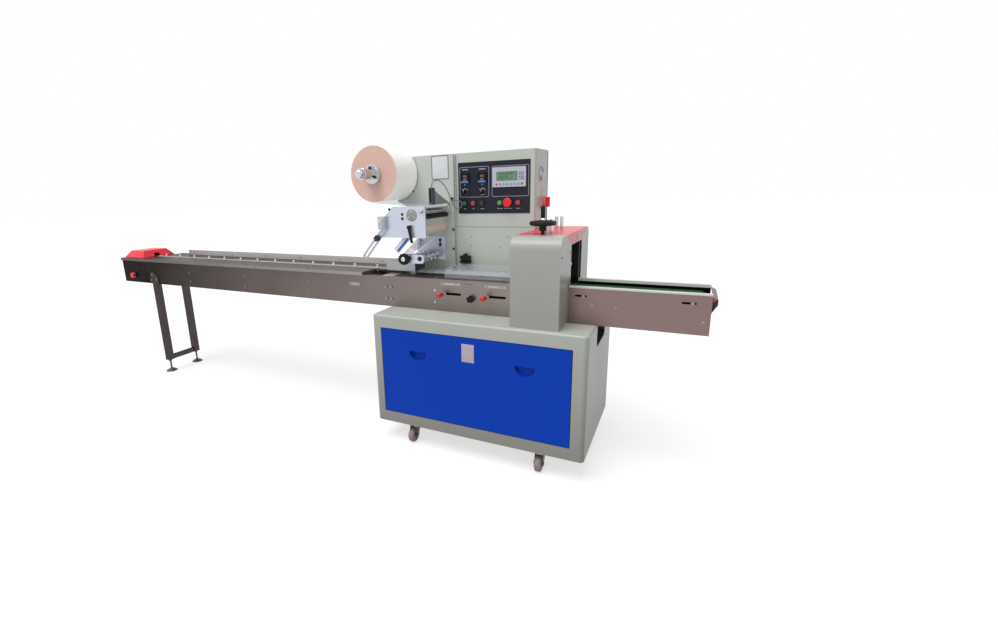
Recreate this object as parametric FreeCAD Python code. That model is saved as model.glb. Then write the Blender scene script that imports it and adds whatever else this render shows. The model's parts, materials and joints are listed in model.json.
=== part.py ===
"""Horizontal flow wrapper: infeed conveyor, cabinet base, film reel and folding unit, end sealer, outfeed.

Millimetres. X runs with the product flow (infeed at -X), Y from the operator's side to the back, Z up.
The origin is on the floor, at the middle of the machine's length and depth.
"""
import FreeCAD, Part
import math
import os

V = FreeCAD.Vector

# ---- overall layout -------------------------------------------------------------------------------------
INFEED_OVERHANG = 2311.0      # infeed end to the base cabinet
BASE_LENGTH = 1027.0
OUTFEED_OVERHANG = 431.0      # base cabinet to the outfeed nose
BODY_DEPTH = 640.0
BASE_DEPTH = 620.0
BASE_HEIGHT = 554.0
CASTOR_HEIGHT = 107.0
PATH_SETBACK = 305.0          # base front to the middle of the product path
FRAME_WIDTH = 260.0           # over the infeed side plates
FRAME_HEIGHT = 157.0
SHEET = 3.0                   # stainless side plates
THIN = 2.0                    # folded table sheet
SEAT = 0.3                    # clearance of a piece against its seat
SLIP = 0.3                    # radial clearance of a turning pin

INFEED_END = -(INFEED_OVERHANG + BASE_LENGTH + OUTFEED_OVERHANG) / 2
BASE_LEFT = INFEED_END + INFEED_OVERHANG
BASE_RIGHT = BASE_LEFT + BASE_LENGTH
NOSE_TIP = BASE_RIGHT + OUTFEED_OVERHANG
FRONT = -BODY_DEPTH / 2
BACK = BODY_DEPTH / 2
PATH_Y = FRONT + PATH_SETBACK
FRAME_FRONT = PATH_Y - FRAME_WIDTH / 2
FRAME_BACK = PATH_Y + FRAME_WIDTH / 2
BASE_TOP = CASTOR_HEIGHT + BASE_HEIGHT
FRAME_TOP = BASE_TOP + FRAME_HEIGHT

# ---- base cabinet and its lift-off panel ----------------------------------------------------------------
BASE_CORNER_R = 20.0
BASE_EDGE_R = 8.0
PANEL_LEFT = BASE_LEFT + 51.0
PANEL_LENGTH = 914.0
PANEL_BOTTOM = CASTOR_HEIGHT + 58.0
PANEL_HEIGHT = 432.0
PANEL_DEPTH = 24.0
PANEL_GAP = 3.0
PULL_WIDTH = 90.0
PULL_DEPTH = 18.0
PULL_DROP = 98.0              # panel top to the pulls
PULL_INSETS = (154.0, 674.0)  # panel left to the pulls
NOTCH_FRONT = FRONT + 203.0
NOTCH_WIDTH = 220.0
NOTCH_HEIGHT = 106.0
NOTCH_REACH = 160.0
NOTCH_R = 30.0

# ---- castors --------------------------------------------------------------------------------------------
CASTOR_INSETS_X = (185.0, 829.0)
CASTOR_INSETS_Y = (68.0, 552.0)
WHEEL_R = 37.5
WHEEL_TREAD = 28.0
CASTOR_TRAIL = 28.0
CASTOR_PAD = 4.0
CASTOR_AXLE_R = 5.0
FORK_CHEEK = 3.0
FORK_GAP = 2.0

# ---- upper body and control cabinet ---------------------------------------------------------------------
CABINET_LEFT = BASE_LEFT + 270.0
CABINET_LENGTH = 414.0
CABINET_FRONT = FRONT + 423.0
CABINET_TOP = 1412.0
CABINET_R = 10.0
BODY_LEFT = CABINET_LEFT - 36.0
BODY_TOP = 1050.0
CABINET_RIGHT = CABINET_LEFT + CABINET_LENGTH
SCREEN_LEFT = CABINET_LEFT + 17.0
SCREEN_LENGTH = 372.0
SCREEN_BOTTOM = 1117.0
SCREEN_HEIGHT = 249.0
SCREEN_THICK = 2.0
BUTTON_Z = 1168.0
BUTTON_R = 13.5
BUTTON_STAND = 12.0
BUTTON_OFFSETS = (36.0, 82.0, 129.0, 222.0, 315.0)
STOP_OFFSET = 264.0
STOP_R = 22.0
STOP_TRAVEL = 4.0
SELECTOR_Z = 1222.0
SELECTOR_OFFSETS = (36.0, 130.0)
SELECTOR_R = 14.0
CONTROLLER_Z = 1291.0
CONTROLLER_SIZE = 48.0
CONTROLLER_OFFSETS = (38.0, 129.5)
DISPLAY_OFFSET = 185.0
DISPLAY_LENGTH = 167.0
DISPLAY_BOTTOM = 1242.0
DISPLAY_HEIGHT = 93.0
STEM_R = 5.0
VENT_Y = CABINET_FRONT + 100.0
VENT_Z = 1299.0
VENT_SIZE = 80.0
ISOLATOR_Y = CABINET_FRONT + 128.0
ISOLATOR_Z = 1163.0
ISOLATOR_SIZE = 64.0
WALL_KNOB_X = CABINET_LEFT + 59.0
WALL_KNOB_Z = 885.0
WALL_KNOB_R = 31.0

# ---- film reel ------------------------------------------------------------------------------------------
REEL_X = BASE_LEFT - 73.0
REEL_Z = 1325.0
REEL_R = 136.0
REEL_CORE_R = 38.0
REEL_WIDTH = 205.0
REEL_GAP = 5.0
REEL_SHAFT_R = 12.0
REEL_SHAFT_REACH = 100.0      # shaft's front end behind the base front
CHUCK_R = 47.0
PLATE_THICK = 18.0
PLATE_FRONT = CABINET_FRONT - PLATE_THICK
PLATE_RIGHT = CABINET_LEFT - 2.0
PLATE_LEG = 222.0             # width of the plate's foot
PLATE_REACH = 409.0           # plate's right edge to its tip behind the reel

# ---- film unit ------------------------------------------------------------------------------------------
UNIT_FRONT = FRONT + 150.0
UNIT_THICK = 8.0
UNIT_LEFT = BASE_LEFT - 7.0
UNIT_RIGHT = BASE_LEFT + 236.0
UNIT_BOTTOM = 1018.0
UNIT_TOP = 1167.0
TOP_IDLER = (BASE_LEFT + 228.0, 1146.0, 13.0)
LOWER_IDLER = (BASE_LEFT + 220.0, 1117.0, 13.0)
DRAW_ROLLER = (BASE_LEFT + 203.0, 1056.0, 27.0)
TIE_R = 7.0
TIES = ((BASE_LEFT + 20.0, 1045.0), (BASE_LEFT + 70.0, 1150.0), (BASE_LEFT + 128.0, 1034.0))
LEVER_PIVOT = (BASE_LEFT + 152.0, 1070.0)
LEVER_LENGTH = 74.0
ARM_TOP = (BASE_LEFT + 4.0, 1058.0)
ARM_END = (BASE_LEFT - 124.0, 914.0)
ARM_WIDTH = 30.0
ARM_THICK = 5.0
ARM_KNOB_SHARE = 0.3

# ---- centre seal unit and former ------------------------------------------------------------------------
SEAL_Z = 909.0
SEAL_FRONT = FRONT + 195.0
SEAL_LEFT = BASE_LEFT + 88.0
SEAL_RIGHT = BASE_LEFT + 196.0
SEAL_PLATE_LEFT = BASE_LEFT + 49.0
SEAL_PLATE_RIGHT = BASE_LEFT + 217.0
FORMER_LEFT = BASE_LEFT - 62.0
FORMER_RIGHT = BASE_LEFT + 112.0
FORMER_WIDTH = 110.0
FORMER_HEIGHT = 48.0

# ---- apron, deck and clear cover ------------------------------------------------------------------------
APRON_LEFT = BASE_LEFT + 24.0
APRON_RIGHT = BASE_LEFT + 906.0
APRON_TOP = FRAME_TOP + 2.0
DECK_RIGHT = BASE_LEFT + 822.0
SLOT_LEFTS = (BASE_LEFT + 300.0, BASE_LEFT + 523.0)
SLOT_LENGTH = 102.0
SLOT_HEIGHT = 12.0
SLOT_Z = 750.0
LEVER_TRAVEL = 84.0
LEVER_STEM_R = 4.7
GRIP_R = 11.0
GRIP_LENGTH = 40.0
STAR_X = BASE_LEFT + 455.0
STAR_Z = 735.0
STAR_R = 17.5
COVER_LEFT = BASE_LEFT + 294.0
COVER_RIGHT = BASE_LEFT + 692.0
COVER_WIDTH = 150.0
COVER_HEIGHT = 46.0

# ---- infeed ---------------------------------------------------------------------------------------------
TABLE_TOP = FRAME_TOP + 18.0
TABLE_FRONT = FRONT + 150.0
TABLE_BACK = FRONT + 480.0
TABLE_LIP = 17.0
TABLE_LEFT = INFEED_END + 26.0
TABLE_RIGHT = BASE_LEFT - 151.0
TABLE_TONGUE = BASE_LEFT - 48.0
COVERED_LENGTH = 234.0        # part of the table's end taken by the end cover
CHAIN_SLOT = 14.0
FENCE_Y = FRONT + 430.0
FENCE_HEIGHT = 34.0
FENCE_LEFT = INFEED_END + 405.0
FENCE_RIGHT = BASE_LEFT - 56.0
END_COVER_LEFT = INFEED_END + 7.0
END_COVER_LENGTH = 216.0
END_COVER_FRONT = FRONT + 196.0
END_COVER_WIDTH = 240.0
END_COVER_RISE = 44.0
END_COVER_SLOPE = 35.0
CHAIN_Z = FRAME_TOP - 6.0
CHAIN_THICK = 10.0
CHAIN_WIDTH = 10.0
SPROCKET_R = 45.0
SPROCKET_LEFT = INFEED_END + 105.0
SPROCKET_RIGHT = BASE_LEFT - 126.0
PUSHER_PITCH = 152.4
PUSHER_RISE = 18.0
PUSHER_WIDTH = 8.0
STAND_X = INFEED_END + 329.0
LEG_SIZE = 40.0
LEG_TOP = BASE_TOP + 84.0
LEG_BOTTOM = 86.0
FOOT_R = 38.0
FOOT_STUD_R = 6.0
INFEED_STOP_X = INFEED_END + 120.0
INFEED_STOP_Z = 711.0
INFEED_STOP_R = 20.0

# ---- end sealer -----------------------------------------------------------------------------------------
SEALER_LEFT = BASE_LEFT + 694.0
SEALER_LENGTH = 207.0
SEALER_FRONT = FRONT + 27.0
SEALER_TOP = 1043.0
SEALER_R = 50.0
TUNNEL_FRONT = FRONT + 226.0
TUNNEL_BACK = FRONT + 446.0
SEALER_BACK = FRONT + 615.0
GUARD_FRONT = FRONT + 120.0
GUARD_BACK = FRONT + 575.0
GUARD_BOTTOM = 993.0
JAW_PLATE = 24.0
JAW_X = BASE_LEFT + 797.0
POST_R = 8.5
POST_SPACING = 25.0
POST_TOP = 1100.0
HANDWHEEL_Y = FRONT + 168.0
HANDWHEEL_X = BASE_LEFT + 791.0
HANDWHEEL_R = 56.0
HANDWHEEL_Z = 1080.0
HANDWHEEL_RIM = 18.0

# ---- outfeed --------------------------------------------------------------------------------------------
OUTFEED_LEFT = APRON_RIGHT + 0.5
OUTFEED_RIGHT = NOSE_TIP - 19.0
OUTFEED_TOP = BASE_TOP + 163.0
OUTFEED_WIDTH = 219.0
OUTFEED_FLANGE = 22.0
BELT_TOP = 800.0
BELT_WIDTH = 160.0
BELT_THICK = 2.0
BELT_ROLLER_R = 32.0
BELT_LEFT = BASE_LEFT + 874.0
BELT_RIGHT = OUTFEED_RIGHT - 40.0


def box(x0, x1, y0, y1, z0, z1):
    """A box between three pairs of planes."""
    return Part.makeBox(x1 - x0, y1 - y0, z1 - z0, V(x0, y0, z0))


def rod(x, y, z, axis, radius, length):
    """A cylinder that starts at a point and runs along an axis."""
    return Part.makeCylinder(radius, length, V(x, y, z), axis)


AX = V(1, 0, 0)
AY = V(0, 1, 0)
AZ = V(0, 0, 1)


def prism(points, run):
    """A polygon extruded along a vector."""
    corners = [V(*point) for point in points]
    return Part.Face(Part.makePolygon(corners + corners[:1])).extrude(run)


def prism_y(outline, y0, y1):
    """An (x, z) outline extruded from y0 to y1."""
    return prism([(x, y0, z) for x, z in outline], V(0, y1 - y0, 0))


def prism_x(outline, x0, x1):
    """A (y, z) outline extruded from x0 to x1."""
    return prism([(x0, y, z) for y, z in outline], V(x1 - x0, 0, 0))


def prism_z(outline, z0, z1):
    """An (x, y) outline extruded from z0 to z1."""
    return prism([(x, y, z0) for x, y in outline], V(0, 0, z1 - z0))


def join(*solids):
    """One solid from solids that meet."""
    return solids[0].multiFuse(list(solids[1:])).removeSplitter()


def cut(solid, *tools):
    """A solid less its tools."""
    return solid.cut(list(tools)).removeSplitter()


def group(solids):
    """Separate solids that share a node."""
    return Part.makeCompound(list(solids))


def upright(edge):
    """Whether an edge runs along Z."""
    first, last = edge.Vertexes[0].Point, edge.Vertexes[-1].Point
    return abs(first.x - last.x) < 0.01 and abs(first.y - last.y) < 0.01


def level_at(edge, z):
    """Whether all of an edge lies at a height."""
    return all(abs(corner.Point.z - z) < 0.01 for corner in edge.Vertexes)


def whole_circle(edge):
    """Whether an edge is a closed circle."""
    return len(edge.Vertexes) == 1


def along_y(edge):
    """Whether an edge runs along Y."""
    first, last = edge.Vertexes[0].Point, edge.Vertexes[-1].Point
    return abs(first.x - last.x) < 0.01 and abs(first.z - last.z) < 0.01


def slot_y(x0, x1, z, height, y0, y1):
    """A slot with round ends, cut along Y."""
    radius = height / 2
    middle = box(x0 + radius, x1 - radius, y0, y1, z - radius, z + radius)
    ends = [rod(x, y0, z, AY, radius, y1 - y0) for x in (x0 + radius, x1 - radius)]
    return join(middle, *ends)


def star(x, y, z, radius, length, lobes=5):
    """A lobed hand knob that grows from a point along -Y."""
    core = rod(x, y, z, V(0, -1, 0), radius * 0.72, length)
    tips = []
    for index in range(lobes):
        angle = math.pi / 2 + 2 * math.pi * index / lobes
        px = x + radius * 0.7 * math.cos(angle)
        pz = z + radius * 0.7 * math.sin(angle)
        tips.append(rod(px, y, pz, V(0, -1, 0), radius * 0.3, length))
    return join(core, *tips)


# ---- base -----------------------------------------------------------------------------------------------
def base_cabinet():
    """The cabinet base with the panel's recess, the notch under the outfeed and the castor pads."""
    body = box(BASE_LEFT, BASE_RIGHT, FRONT, FRONT + BASE_DEPTH, CASTOR_HEIGHT, BASE_TOP)
    body = body.makeFillet(BASE_CORNER_R, [edge for edge in body.Edges if upright(edge)])
    body = body.makeFillet(BASE_EDGE_R, [edge for edge in body.Edges if level_at(edge, BASE_TOP)])
    recess = box(PANEL_LEFT - PANEL_GAP, PANEL_LEFT + PANEL_LENGTH + PANEL_GAP, FRONT - 1,
                 FRONT + PANEL_DEPTH, PANEL_BOTTOM - PANEL_GAP, PANEL_BOTTOM + PANEL_HEIGHT + PANEL_GAP)
    notch = box(BASE_RIGHT - NOTCH_REACH, BASE_RIGHT + 1, NOTCH_FRONT, NOTCH_FRONT + NOTCH_WIDTH,
                BASE_TOP - NOTCH_HEIGHT, BASE_TOP + 1)
    low = [edge for edge in notch.Edges if level_at(edge, BASE_TOP - NOTCH_HEIGHT)
           and abs(edge.CenterOfMass.y - NOTCH_FRONT - NOTCH_WIDTH) < 0.01]
    body = cut(body, recess, notch.makeFillet(NOTCH_R, low))
    return body


def castor_places():
    """The four swivel axes under the base."""
    return [(BASE_LEFT + x, FRONT + y) for y in CASTOR_INSETS_Y for x in CASTOR_INSETS_X]


def front_panel():
    """The lift-off front panel with its two half-moon pulls."""
    panel = box(PANEL_LEFT, PANEL_LEFT + PANEL_LENGTH, FRONT, FRONT + PANEL_DEPTH,
                PANEL_BOTTOM, PANEL_BOTTOM + PANEL_HEIGHT)
    pull_z = PANEL_BOTTOM + PANEL_HEIGHT - PULL_DROP
    for inset in PULL_INSETS:
        left = PANEL_LEFT + inset
        disc = rod(left + PULL_WIDTH / 2, FRONT, pull_z, AY, PULL_WIDTH / 2, PULL_DEPTH)
        lower = box(left, left + PULL_WIDTH, FRONT, FRONT + PULL_DEPTH, pull_z - PULL_WIDTH, pull_z)
        panel = cut(panel, disc.common(lower))
    return panel


def castor_fork(x, y):
    """A swivel fork with its axle: crown, two cheeks and the pin through the wheel."""
    crown_top = CASTOR_HEIGHT - SEAT
    crown_low = crown_top - 14
    half = WHEEL_TREAD / 2 + FORK_GAP + FORK_CHEEK
    axle_y = y - CASTOR_TRAIL
    race = rod(x, y, crown_low + 6, AZ, 24, crown_top - crown_low - 6)
    crown = box(x - half, x + half, y - 24, y + 20, crown_low, crown_low + 6)
    cheek = [(y + 20, crown_low + 6), (y - 24, crown_low + 6), (axle_y - 11, WHEEL_R + 8),
             (axle_y - 11, WHEEL_R - 4), (axle_y - 4, WHEEL_R - 11), (axle_y + 8, WHEEL_R - 11),
             (y + 20, crown_low - 12)]
    cheeks = [prism_x(cheek, x - half, x - half + FORK_CHEEK), prism_x(cheek, x + half - FORK_CHEEK, x + half)]
    axle = rod(x - half - 4, axle_y, WHEEL_R, AX, CASTOR_AXLE_R, 2 * half + 8)
    heads = [rod(start, axle_y, WHEEL_R, AX, CASTOR_AXLE_R + 3, 4) for start in (x - half - 4, x + half)]
    return join(race, crown, axle, *cheeks, *heads)


def castor_wheel(x, y):
    """A castor wheel with a round-shouldered tread and a bored hub."""
    wheel = rod(x - WHEEL_TREAD / 2, y - CASTOR_TRAIL, WHEEL_R, AX, WHEEL_R, WHEEL_TREAD)
    wheel = wheel.makeChamfer(5, [edge for edge in wheel.Edges if whole_circle(edge)])
    hub = rod(x - WHEEL_TREAD / 2 - 1, y - CASTOR_TRAIL, WHEEL_R, AX, 12, WHEEL_TREAD + 2)
    bore = rod(x - WHEEL_TREAD, y - CASTOR_TRAIL, WHEEL_R, AX, CASTOR_AXLE_R + SLIP, 2 * WHEEL_TREAD)
    return cut(join(wheel, hub), bore)


# ---- upper body -----------------------------------------------------------------------------------------
def machine_body():
    """The gear housing behind the apron and the wall under the control cabinet."""
    plinth = box(APRON_LEFT + 10, CABINET_RIGHT, FRAME_FRONT + 25, BACK, BASE_TOP, APRON_TOP - SHEET)
    wall = box(BODY_LEFT, CABINET_RIGHT, CABINET_FRONT, BACK, BASE_TOP, BODY_TOP)
    knob_hole = rod(WALL_KNOB_X, CABINET_FRONT - 1, WALL_KNOB_Z, AY, STEM_R + SLIP, 22)
    return cut(join(plinth, wall), knob_hole)


def control_cabinet():
    """The electrical cabinet with rounded front corners, a fan vent and holes for its stems."""
    body = box(CABINET_LEFT, CABINET_RIGHT, CABINET_FRONT, BACK, BODY_TOP, CABINET_TOP)
    front = [edge for edge in body.Edges if upright(edge) and edge.Vertexes[0].Y < CABINET_FRONT + 1]
    body = body.makeFillet(CABINET_R, front)
    holes = [rod(x, CABINET_FRONT - 1, z, AY, STEM_R + SLIP, 22) for x, z in stem_places()]
    vent_hole = rod(CABINET_RIGHT - 8, VENT_Y, VENT_Z, AX, VENT_SIZE / 2 - 4, 9)
    shaft_hole = rod(CABINET_RIGHT - 20, ISOLATOR_Y, ISOLATOR_Z, AX, STEM_R + SLIP, 21)
    return cut(body, vent_hole, shaft_hole, *holes)


def stem_places():
    """Where the turning and pressed controls pass through the operator panel."""
    selectors = [(SCREEN_LEFT + offset, SELECTOR_Z) for offset in SELECTOR_OFFSETS]
    return selectors + [(SCREEN_LEFT + STOP_OFFSET, BUTTON_Z)]


def operator_panel():
    """The dark panel plate on the cabinet's front."""
    plate = box(SCREEN_LEFT, SCREEN_LEFT + SCREEN_LENGTH, CABINET_FRONT - SCREEN_THICK, CABINET_FRONT,
                SCREEN_BOTTOM, SCREEN_BOTTOM + SCREEN_HEIGHT)
    holes = [rod(x, CABINET_FRONT - SCREEN_THICK - 1, z, AY, STEM_R + SLIP, SCREEN_THICK + 2)
             for x, z in stem_places()]
    return cut(plate, *holes)


def operator_display():
    """The display unit with its recessed screen."""
    left = SCREEN_LEFT + DISPLAY_OFFSET
    face = CABINET_FRONT - SCREEN_THICK
    frame = box(left, left + DISPLAY_LENGTH, face - 6, face, DISPLAY_BOTTOM, DISPLAY_BOTTOM + DISPLAY_HEIGHT)
    frame = frame.makeFillet(4, [edge for edge in frame.Edges if along_y(edge)])
    screen = box(left + 23, left + 123, face - 7, face - 4, DISPLAY_BOTTOM + 32, DISPLAY_BOTTOM + 69)
    return cut(frame, screen)


def temperature_controllers():
    """Two square temperature controllers with recessed dials."""
    face = CABINET_FRONT - SCREEN_THICK
    half = CONTROLLER_SIZE / 2
    units = []
    for offset in CONTROLLER_OFFSETS:
        x = SCREEN_LEFT + offset
        unit = box(x - half, x + half, face - 8, face, CONTROLLER_Z - half, CONTROLLER_Z + half)
        window = box(x - half + 4, x + half - 4, face - 9, face - 6, CONTROLLER_Z - half + 4, CONTROLLER_Z + half - 4)
        units.append(cut(unit, window))
    return group(units)


def push_buttons():
    """Five push buttons, each a collar and a domed cap."""
    face = CABINET_FRONT - SCREEN_THICK
    buttons = []
    for offset in BUTTON_OFFSETS:
        x = SCREEN_LEFT + offset
        collar = rod(x, face - 4, BUTTON_Z, AY, BUTTON_R, 4)
        cap = rod(x, face - BUTTON_STAND, BUTTON_Z, AY, BUTTON_R - 3, BUTTON_STAND - 4)
        buttons.append(join(collar, cap))
    return group(buttons)


def selector(offset):
    """A rotary switch: round base, pointer bar and stem."""
    x = SCREEN_LEFT + offset
    face = CABINET_FRONT - SCREEN_THICK - SEAT
    base = rod(x, face - 8, SELECTOR_Z, AY, SELECTOR_R, 8)
    bar = box(x - 3.5, x + 3.5, face - 18, face - 8, SELECTOR_Z - SELECTOR_R + 1, SELECTOR_Z + SELECTOR_R - 1)
    stem = rod(x, face, SELECTOR_Z, AY, STEM_R, 14)
    return join(base, bar, stem)


def mushroom_button(x, y, z, radius, travel):
    """A mushroom push button that faces -Y, with its stem into the panel behind it at y."""
    stand = travel + 9
    head = rod(x, y - stand - 10, z, AY, radius, 10)
    head = head.makeChamfer(3, [edge for edge in head.Edges if whole_circle(edge) and edge.Vertexes[0].Y < y - stand - 9])
    neck = rod(x, y - stand, z, AY, radius * 0.55, stand - travel - 1)
    stem = rod(x, y - travel - 1, z, AY, STEM_R, travel + 12)
    return join(head, neck, stem)


def isolator_base():
    """The isolator's square plate on the cabinet's outfeed side."""
    half = ISOLATOR_SIZE / 2
    plate = box(CABINET_RIGHT, CABINET_RIGHT + 8, ISOLATOR_Y - half, ISOLATOR_Y + half,
                ISOLATOR_Z - half, ISOLATOR_Z + half)
    plate = plate.makeFillet(5, [edge for edge in plate.Edges if level_x(edge)])
    return cut(plate, rod(CABINET_RIGHT - 1, ISOLATOR_Y, ISOLATOR_Z, AX, STEM_R + SLIP, 10))


def level_x(edge):
    """Whether an edge runs along X."""
    first, last = edge.Vertexes[0].Point, edge.Vertexes[-1].Point
    return abs(first.y - last.y) < 0.01 and abs(first.z - last.z) < 0.01


def isolator_handle():
    """The rotary isolator handle: disc, raised bar and shaft."""
    face = CABINET_RIGHT + 8 + SEAT
    disc = rod(face, ISOLATOR_Y, ISOLATOR_Z, AX, 24, 8)
    bar = box(face + 8, face + 28, ISOLATOR_Y - 7, ISOLATOR_Y + 7, ISOLATOR_Z - 24, ISOLATOR_Z + 24)
    shaft = rod(face - 20, ISOLATOR_Y, ISOLATOR_Z, AX, STEM_R, 20)
    return join(disc, bar, shaft)


def wall_knob():
    """The lobed hand knob on the lower wall."""
    face = CABINET_FRONT - SEAT
    knob = star(WALL_KNOB_X, face - 12, WALL_KNOB_Z, WALL_KNOB_R, 23, 6)
    boss = rod(WALL_KNOB_X, face - 12, WALL_KNOB_Z, AY, 13, 12)
    stem = rod(WALL_KNOB_X, face, WALL_KNOB_Z, AY, STEM_R, 16)
    return join(knob, boss, stem)


# ---- film reel ------------------------------------------------------------------------------------------
def reel_plate():
    """The painted plate that carries the reel and the film unit."""
    foot_left = PLATE_RIGHT - PLATE_LEG
    tip = PLATE_RIGHT - PLATE_REACH
    outline = [(foot_left, APRON_TOP), (PLATE_RIGHT, APRON_TOP), (PLATE_RIGHT, CABINET_TOP - 1),
               (tip + 50, CABINET_TOP - 1), (tip, CABINET_TOP - 52), (tip, 1250), (tip + 71, 1188),
               (foot_left - 56, 1157), (foot_left, 1100)]
    plate = prism_y(outline, PLATE_FRONT, CABINET_FRONT)
    bearing = rod(REEL_X, CABINET_FRONT, REEL_Z, AY, 36, 26)
    bore = rod(REEL_X, PLATE_FRONT - 1, REEL_Z, AY, REEL_SHAFT_R + SLIP, PLATE_THICK + 28)
    pin_holes = [rod(x, PLATE_FRONT - 1, z, AY, STEM_R + SLIP, 13) for x, z, radius in film_rollers()]
    return cut(join(plate, bearing), bore, *pin_holes)


def film_rollers():
    """The three turning rollers of the film unit: x, z and radius."""
    return (TOP_IDLER, LOWER_IDLER, DRAW_ROLLER)


def film_roll():
    """The wound film on its core."""
    back = PLATE_FRONT - REEL_GAP
    roll = rod(REEL_X, back - REEL_WIDTH, REEL_Z, AY, REEL_R, REEL_WIDTH)
    return cut(roll, rod(REEL_X, back - REEL_WIDTH - 1, REEL_Z, AY, REEL_CORE_R, REEL_WIDTH + 2))


def reel_shaft():
    """The reel shaft with its collar and the two cones that grip the core."""
    roll_back = PLATE_FRONT - REEL_GAP
    roll_front = roll_back - REEL_WIDTH
    shaft_front = FRONT + REEL_SHAFT_REACH
    shaft_back = CABINET_FRONT + 24
    shaft = rod(REEL_X, shaft_front, REEL_Z, AY, REEL_SHAFT_R, shaft_back - shaft_front)
    nose = Part.makeCone(REEL_SHAFT_R, REEL_SHAFT_R + 7, 8, V(REEL_X, shaft_front, REEL_Z), AY)
    collar = rod(REEL_X, shaft_front + 26, REEL_Z, AY, 25, 30)
    ring = rod(REEL_X, roll_front - 14, REEL_Z, AY, CHUCK_R, 13.7)
    front_cone = Part.makeCone(REEL_CORE_R - SEAT, 24, 40, V(REEL_X, roll_front - 0.3, REEL_Z), AY)
    back_cone = Part.makeCone(24, REEL_CORE_R - SEAT, 40, V(REEL_X, roll_back - 44, REEL_Z), AY)
    lobes = []
    for index in range(3):
        angle = math.pi / 2 + 2 * math.pi * index / 3
        lobe_x = REEL_X + 30 * math.cos(angle)
        lobe_z = REEL_Z + 30 * math.sin(angle)
        lobes.append(rod(lobe_x, roll_front - 26, lobe_z, AY, 12, 13))
    return join(shaft, nose, collar, ring, front_cone, back_cone, *lobes)


# ---- film unit ------------------------------------------------------------------------------------------
def film_unit_plate():
    """The front plate of the film unit with the tie rods that carry it from the reel plate."""
    outline = [(UNIT_LEFT, UNIT_BOTTOM), (UNIT_RIGHT, UNIT_BOTTOM), (UNIT_RIGHT, UNIT_TOP),
               (UNIT_LEFT + 64, UNIT_TOP), (UNIT_LEFT, UNIT_TOP - 62)]
    plate = prism_y(outline, UNIT_FRONT, UNIT_FRONT + UNIT_THICK)
    ties = [rod(x, UNIT_FRONT + UNIT_THICK, z, AY, TIE_R, PLATE_FRONT - UNIT_FRONT - UNIT_THICK)
            for x, z in TIES]
    holes = [rod(x, UNIT_FRONT + 3, z, AY, STEM_R + SLIP, UNIT_THICK) for x, z, radius in film_rollers()]
    pivot = rod(LEVER_PIVOT[0], UNIT_FRONT - 1, LEVER_PIVOT[1], AY, STEM_R + SLIP, UNIT_THICK)
    return cut(join(plate, *ties), pivot, *holes)


def film_roller(place):
    """A roller between the unit's plate and the reel plate, turning on its own journals."""
    x, z, radius = place
    start = UNIT_FRONT + UNIT_THICK + 2
    body = rod(x, start, z, AY, radius, PLATE_FRONT - 2 - start)
    journal = rod(x, UNIT_FRONT + 3.5, z, AY, STEM_R, PLATE_FRONT + 11 - UNIT_FRONT - 3.5)
    return join(body, journal)


def clamp_lever():
    """The clamp lever on the unit's front plate."""
    x, z = LEVER_PIVOT
    face = UNIT_FRONT - SEAT
    hub = rod(x, face - 18, z, AY, 9, 18)
    tip = (x + 14, z - LEVER_LENGTH)
    arm = prism_y([(x - 6, z), (x + 6, z), (tip[0] + 5, tip[1]), (tip[0] - 5, tip[1])], face - 18, face - 8)
    stem = rod(x, face, z, AY, STEM_R, UNIT_THICK - 2)
    return join(hub, arm, stem)


def film_guide_arm():
    """The slotted arm at the unit's lower left with its star knob and guide bar."""
    (x0, z0), (x1, z1) = ARM_TOP, ARM_END
    length = math.hypot(x1 - x0, z1 - z0)
    half = ARM_WIDTH / 2
    arm = box(-half, length, UNIT_FRONT - ARM_THICK, UNIT_FRONT, -half, half)
    slot = slot_y(length * 0.38, length - 10, 0, 12, UNIT_FRONT - ARM_THICK - 1, UNIT_FRONT + 1)
    arm = cut(arm, slot)
    knob = star(length * ARM_KNOB_SHARE, UNIT_FRONT - ARM_THICK, 0, 16, 18)
    solid = join(arm, knob)
    angle = math.degrees(math.atan2(z1 - z0, x1 - x0))
    solid.rotate(V(0, 0, 0), V(0, -1, 0), angle)
    solid.translate(V(x0, 0, z0))
    return solid


def film_web():
    """The film between the roll, the unit and the former, as a thin closed sheet."""
    y0 = UNIT_FRONT + UNIT_THICK + 4
    y1 = PLATE_FRONT - 8
    start = (REEL_X - 20, REEL_Z - REEL_R - 1.5)
    end = (TOP_IDLER[0] - 4, TOP_IDLER[1] + TOP_IDLER[2] + SEAT)
    upper = prism_y([start, end, (end[0], end[1] + 0.8), (start[0], start[1] + 0.8)], y0, y1)
    low = (FORMER_LEFT + 60, TABLE_TOP + FORMER_HEIGHT + SEAT)
    top = (DRAW_ROLLER[0] - 24, UNIT_BOTTOM - 6)
    middle = PATH_Y
    narrow = 40
    corners = [V(top[0], y0, top[1]), V(top[0], y1, top[1]), V(low[0], middle + narrow, low[1]),
               V(low[0], middle - narrow, low[1])]
    lower = Part.Face(Part.makePolygon(corners[:3] + corners[:1]))
    lower = lower.extrude(V(-0.8, 0, 0))
    second = Part.Face(Part.makePolygon([corners[0], corners[2], corners[3], corners[0]]))
    return group([upper, lower.fuse(second.extrude(V(-0.8, 0, 0))).removeSplitter()])


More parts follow.
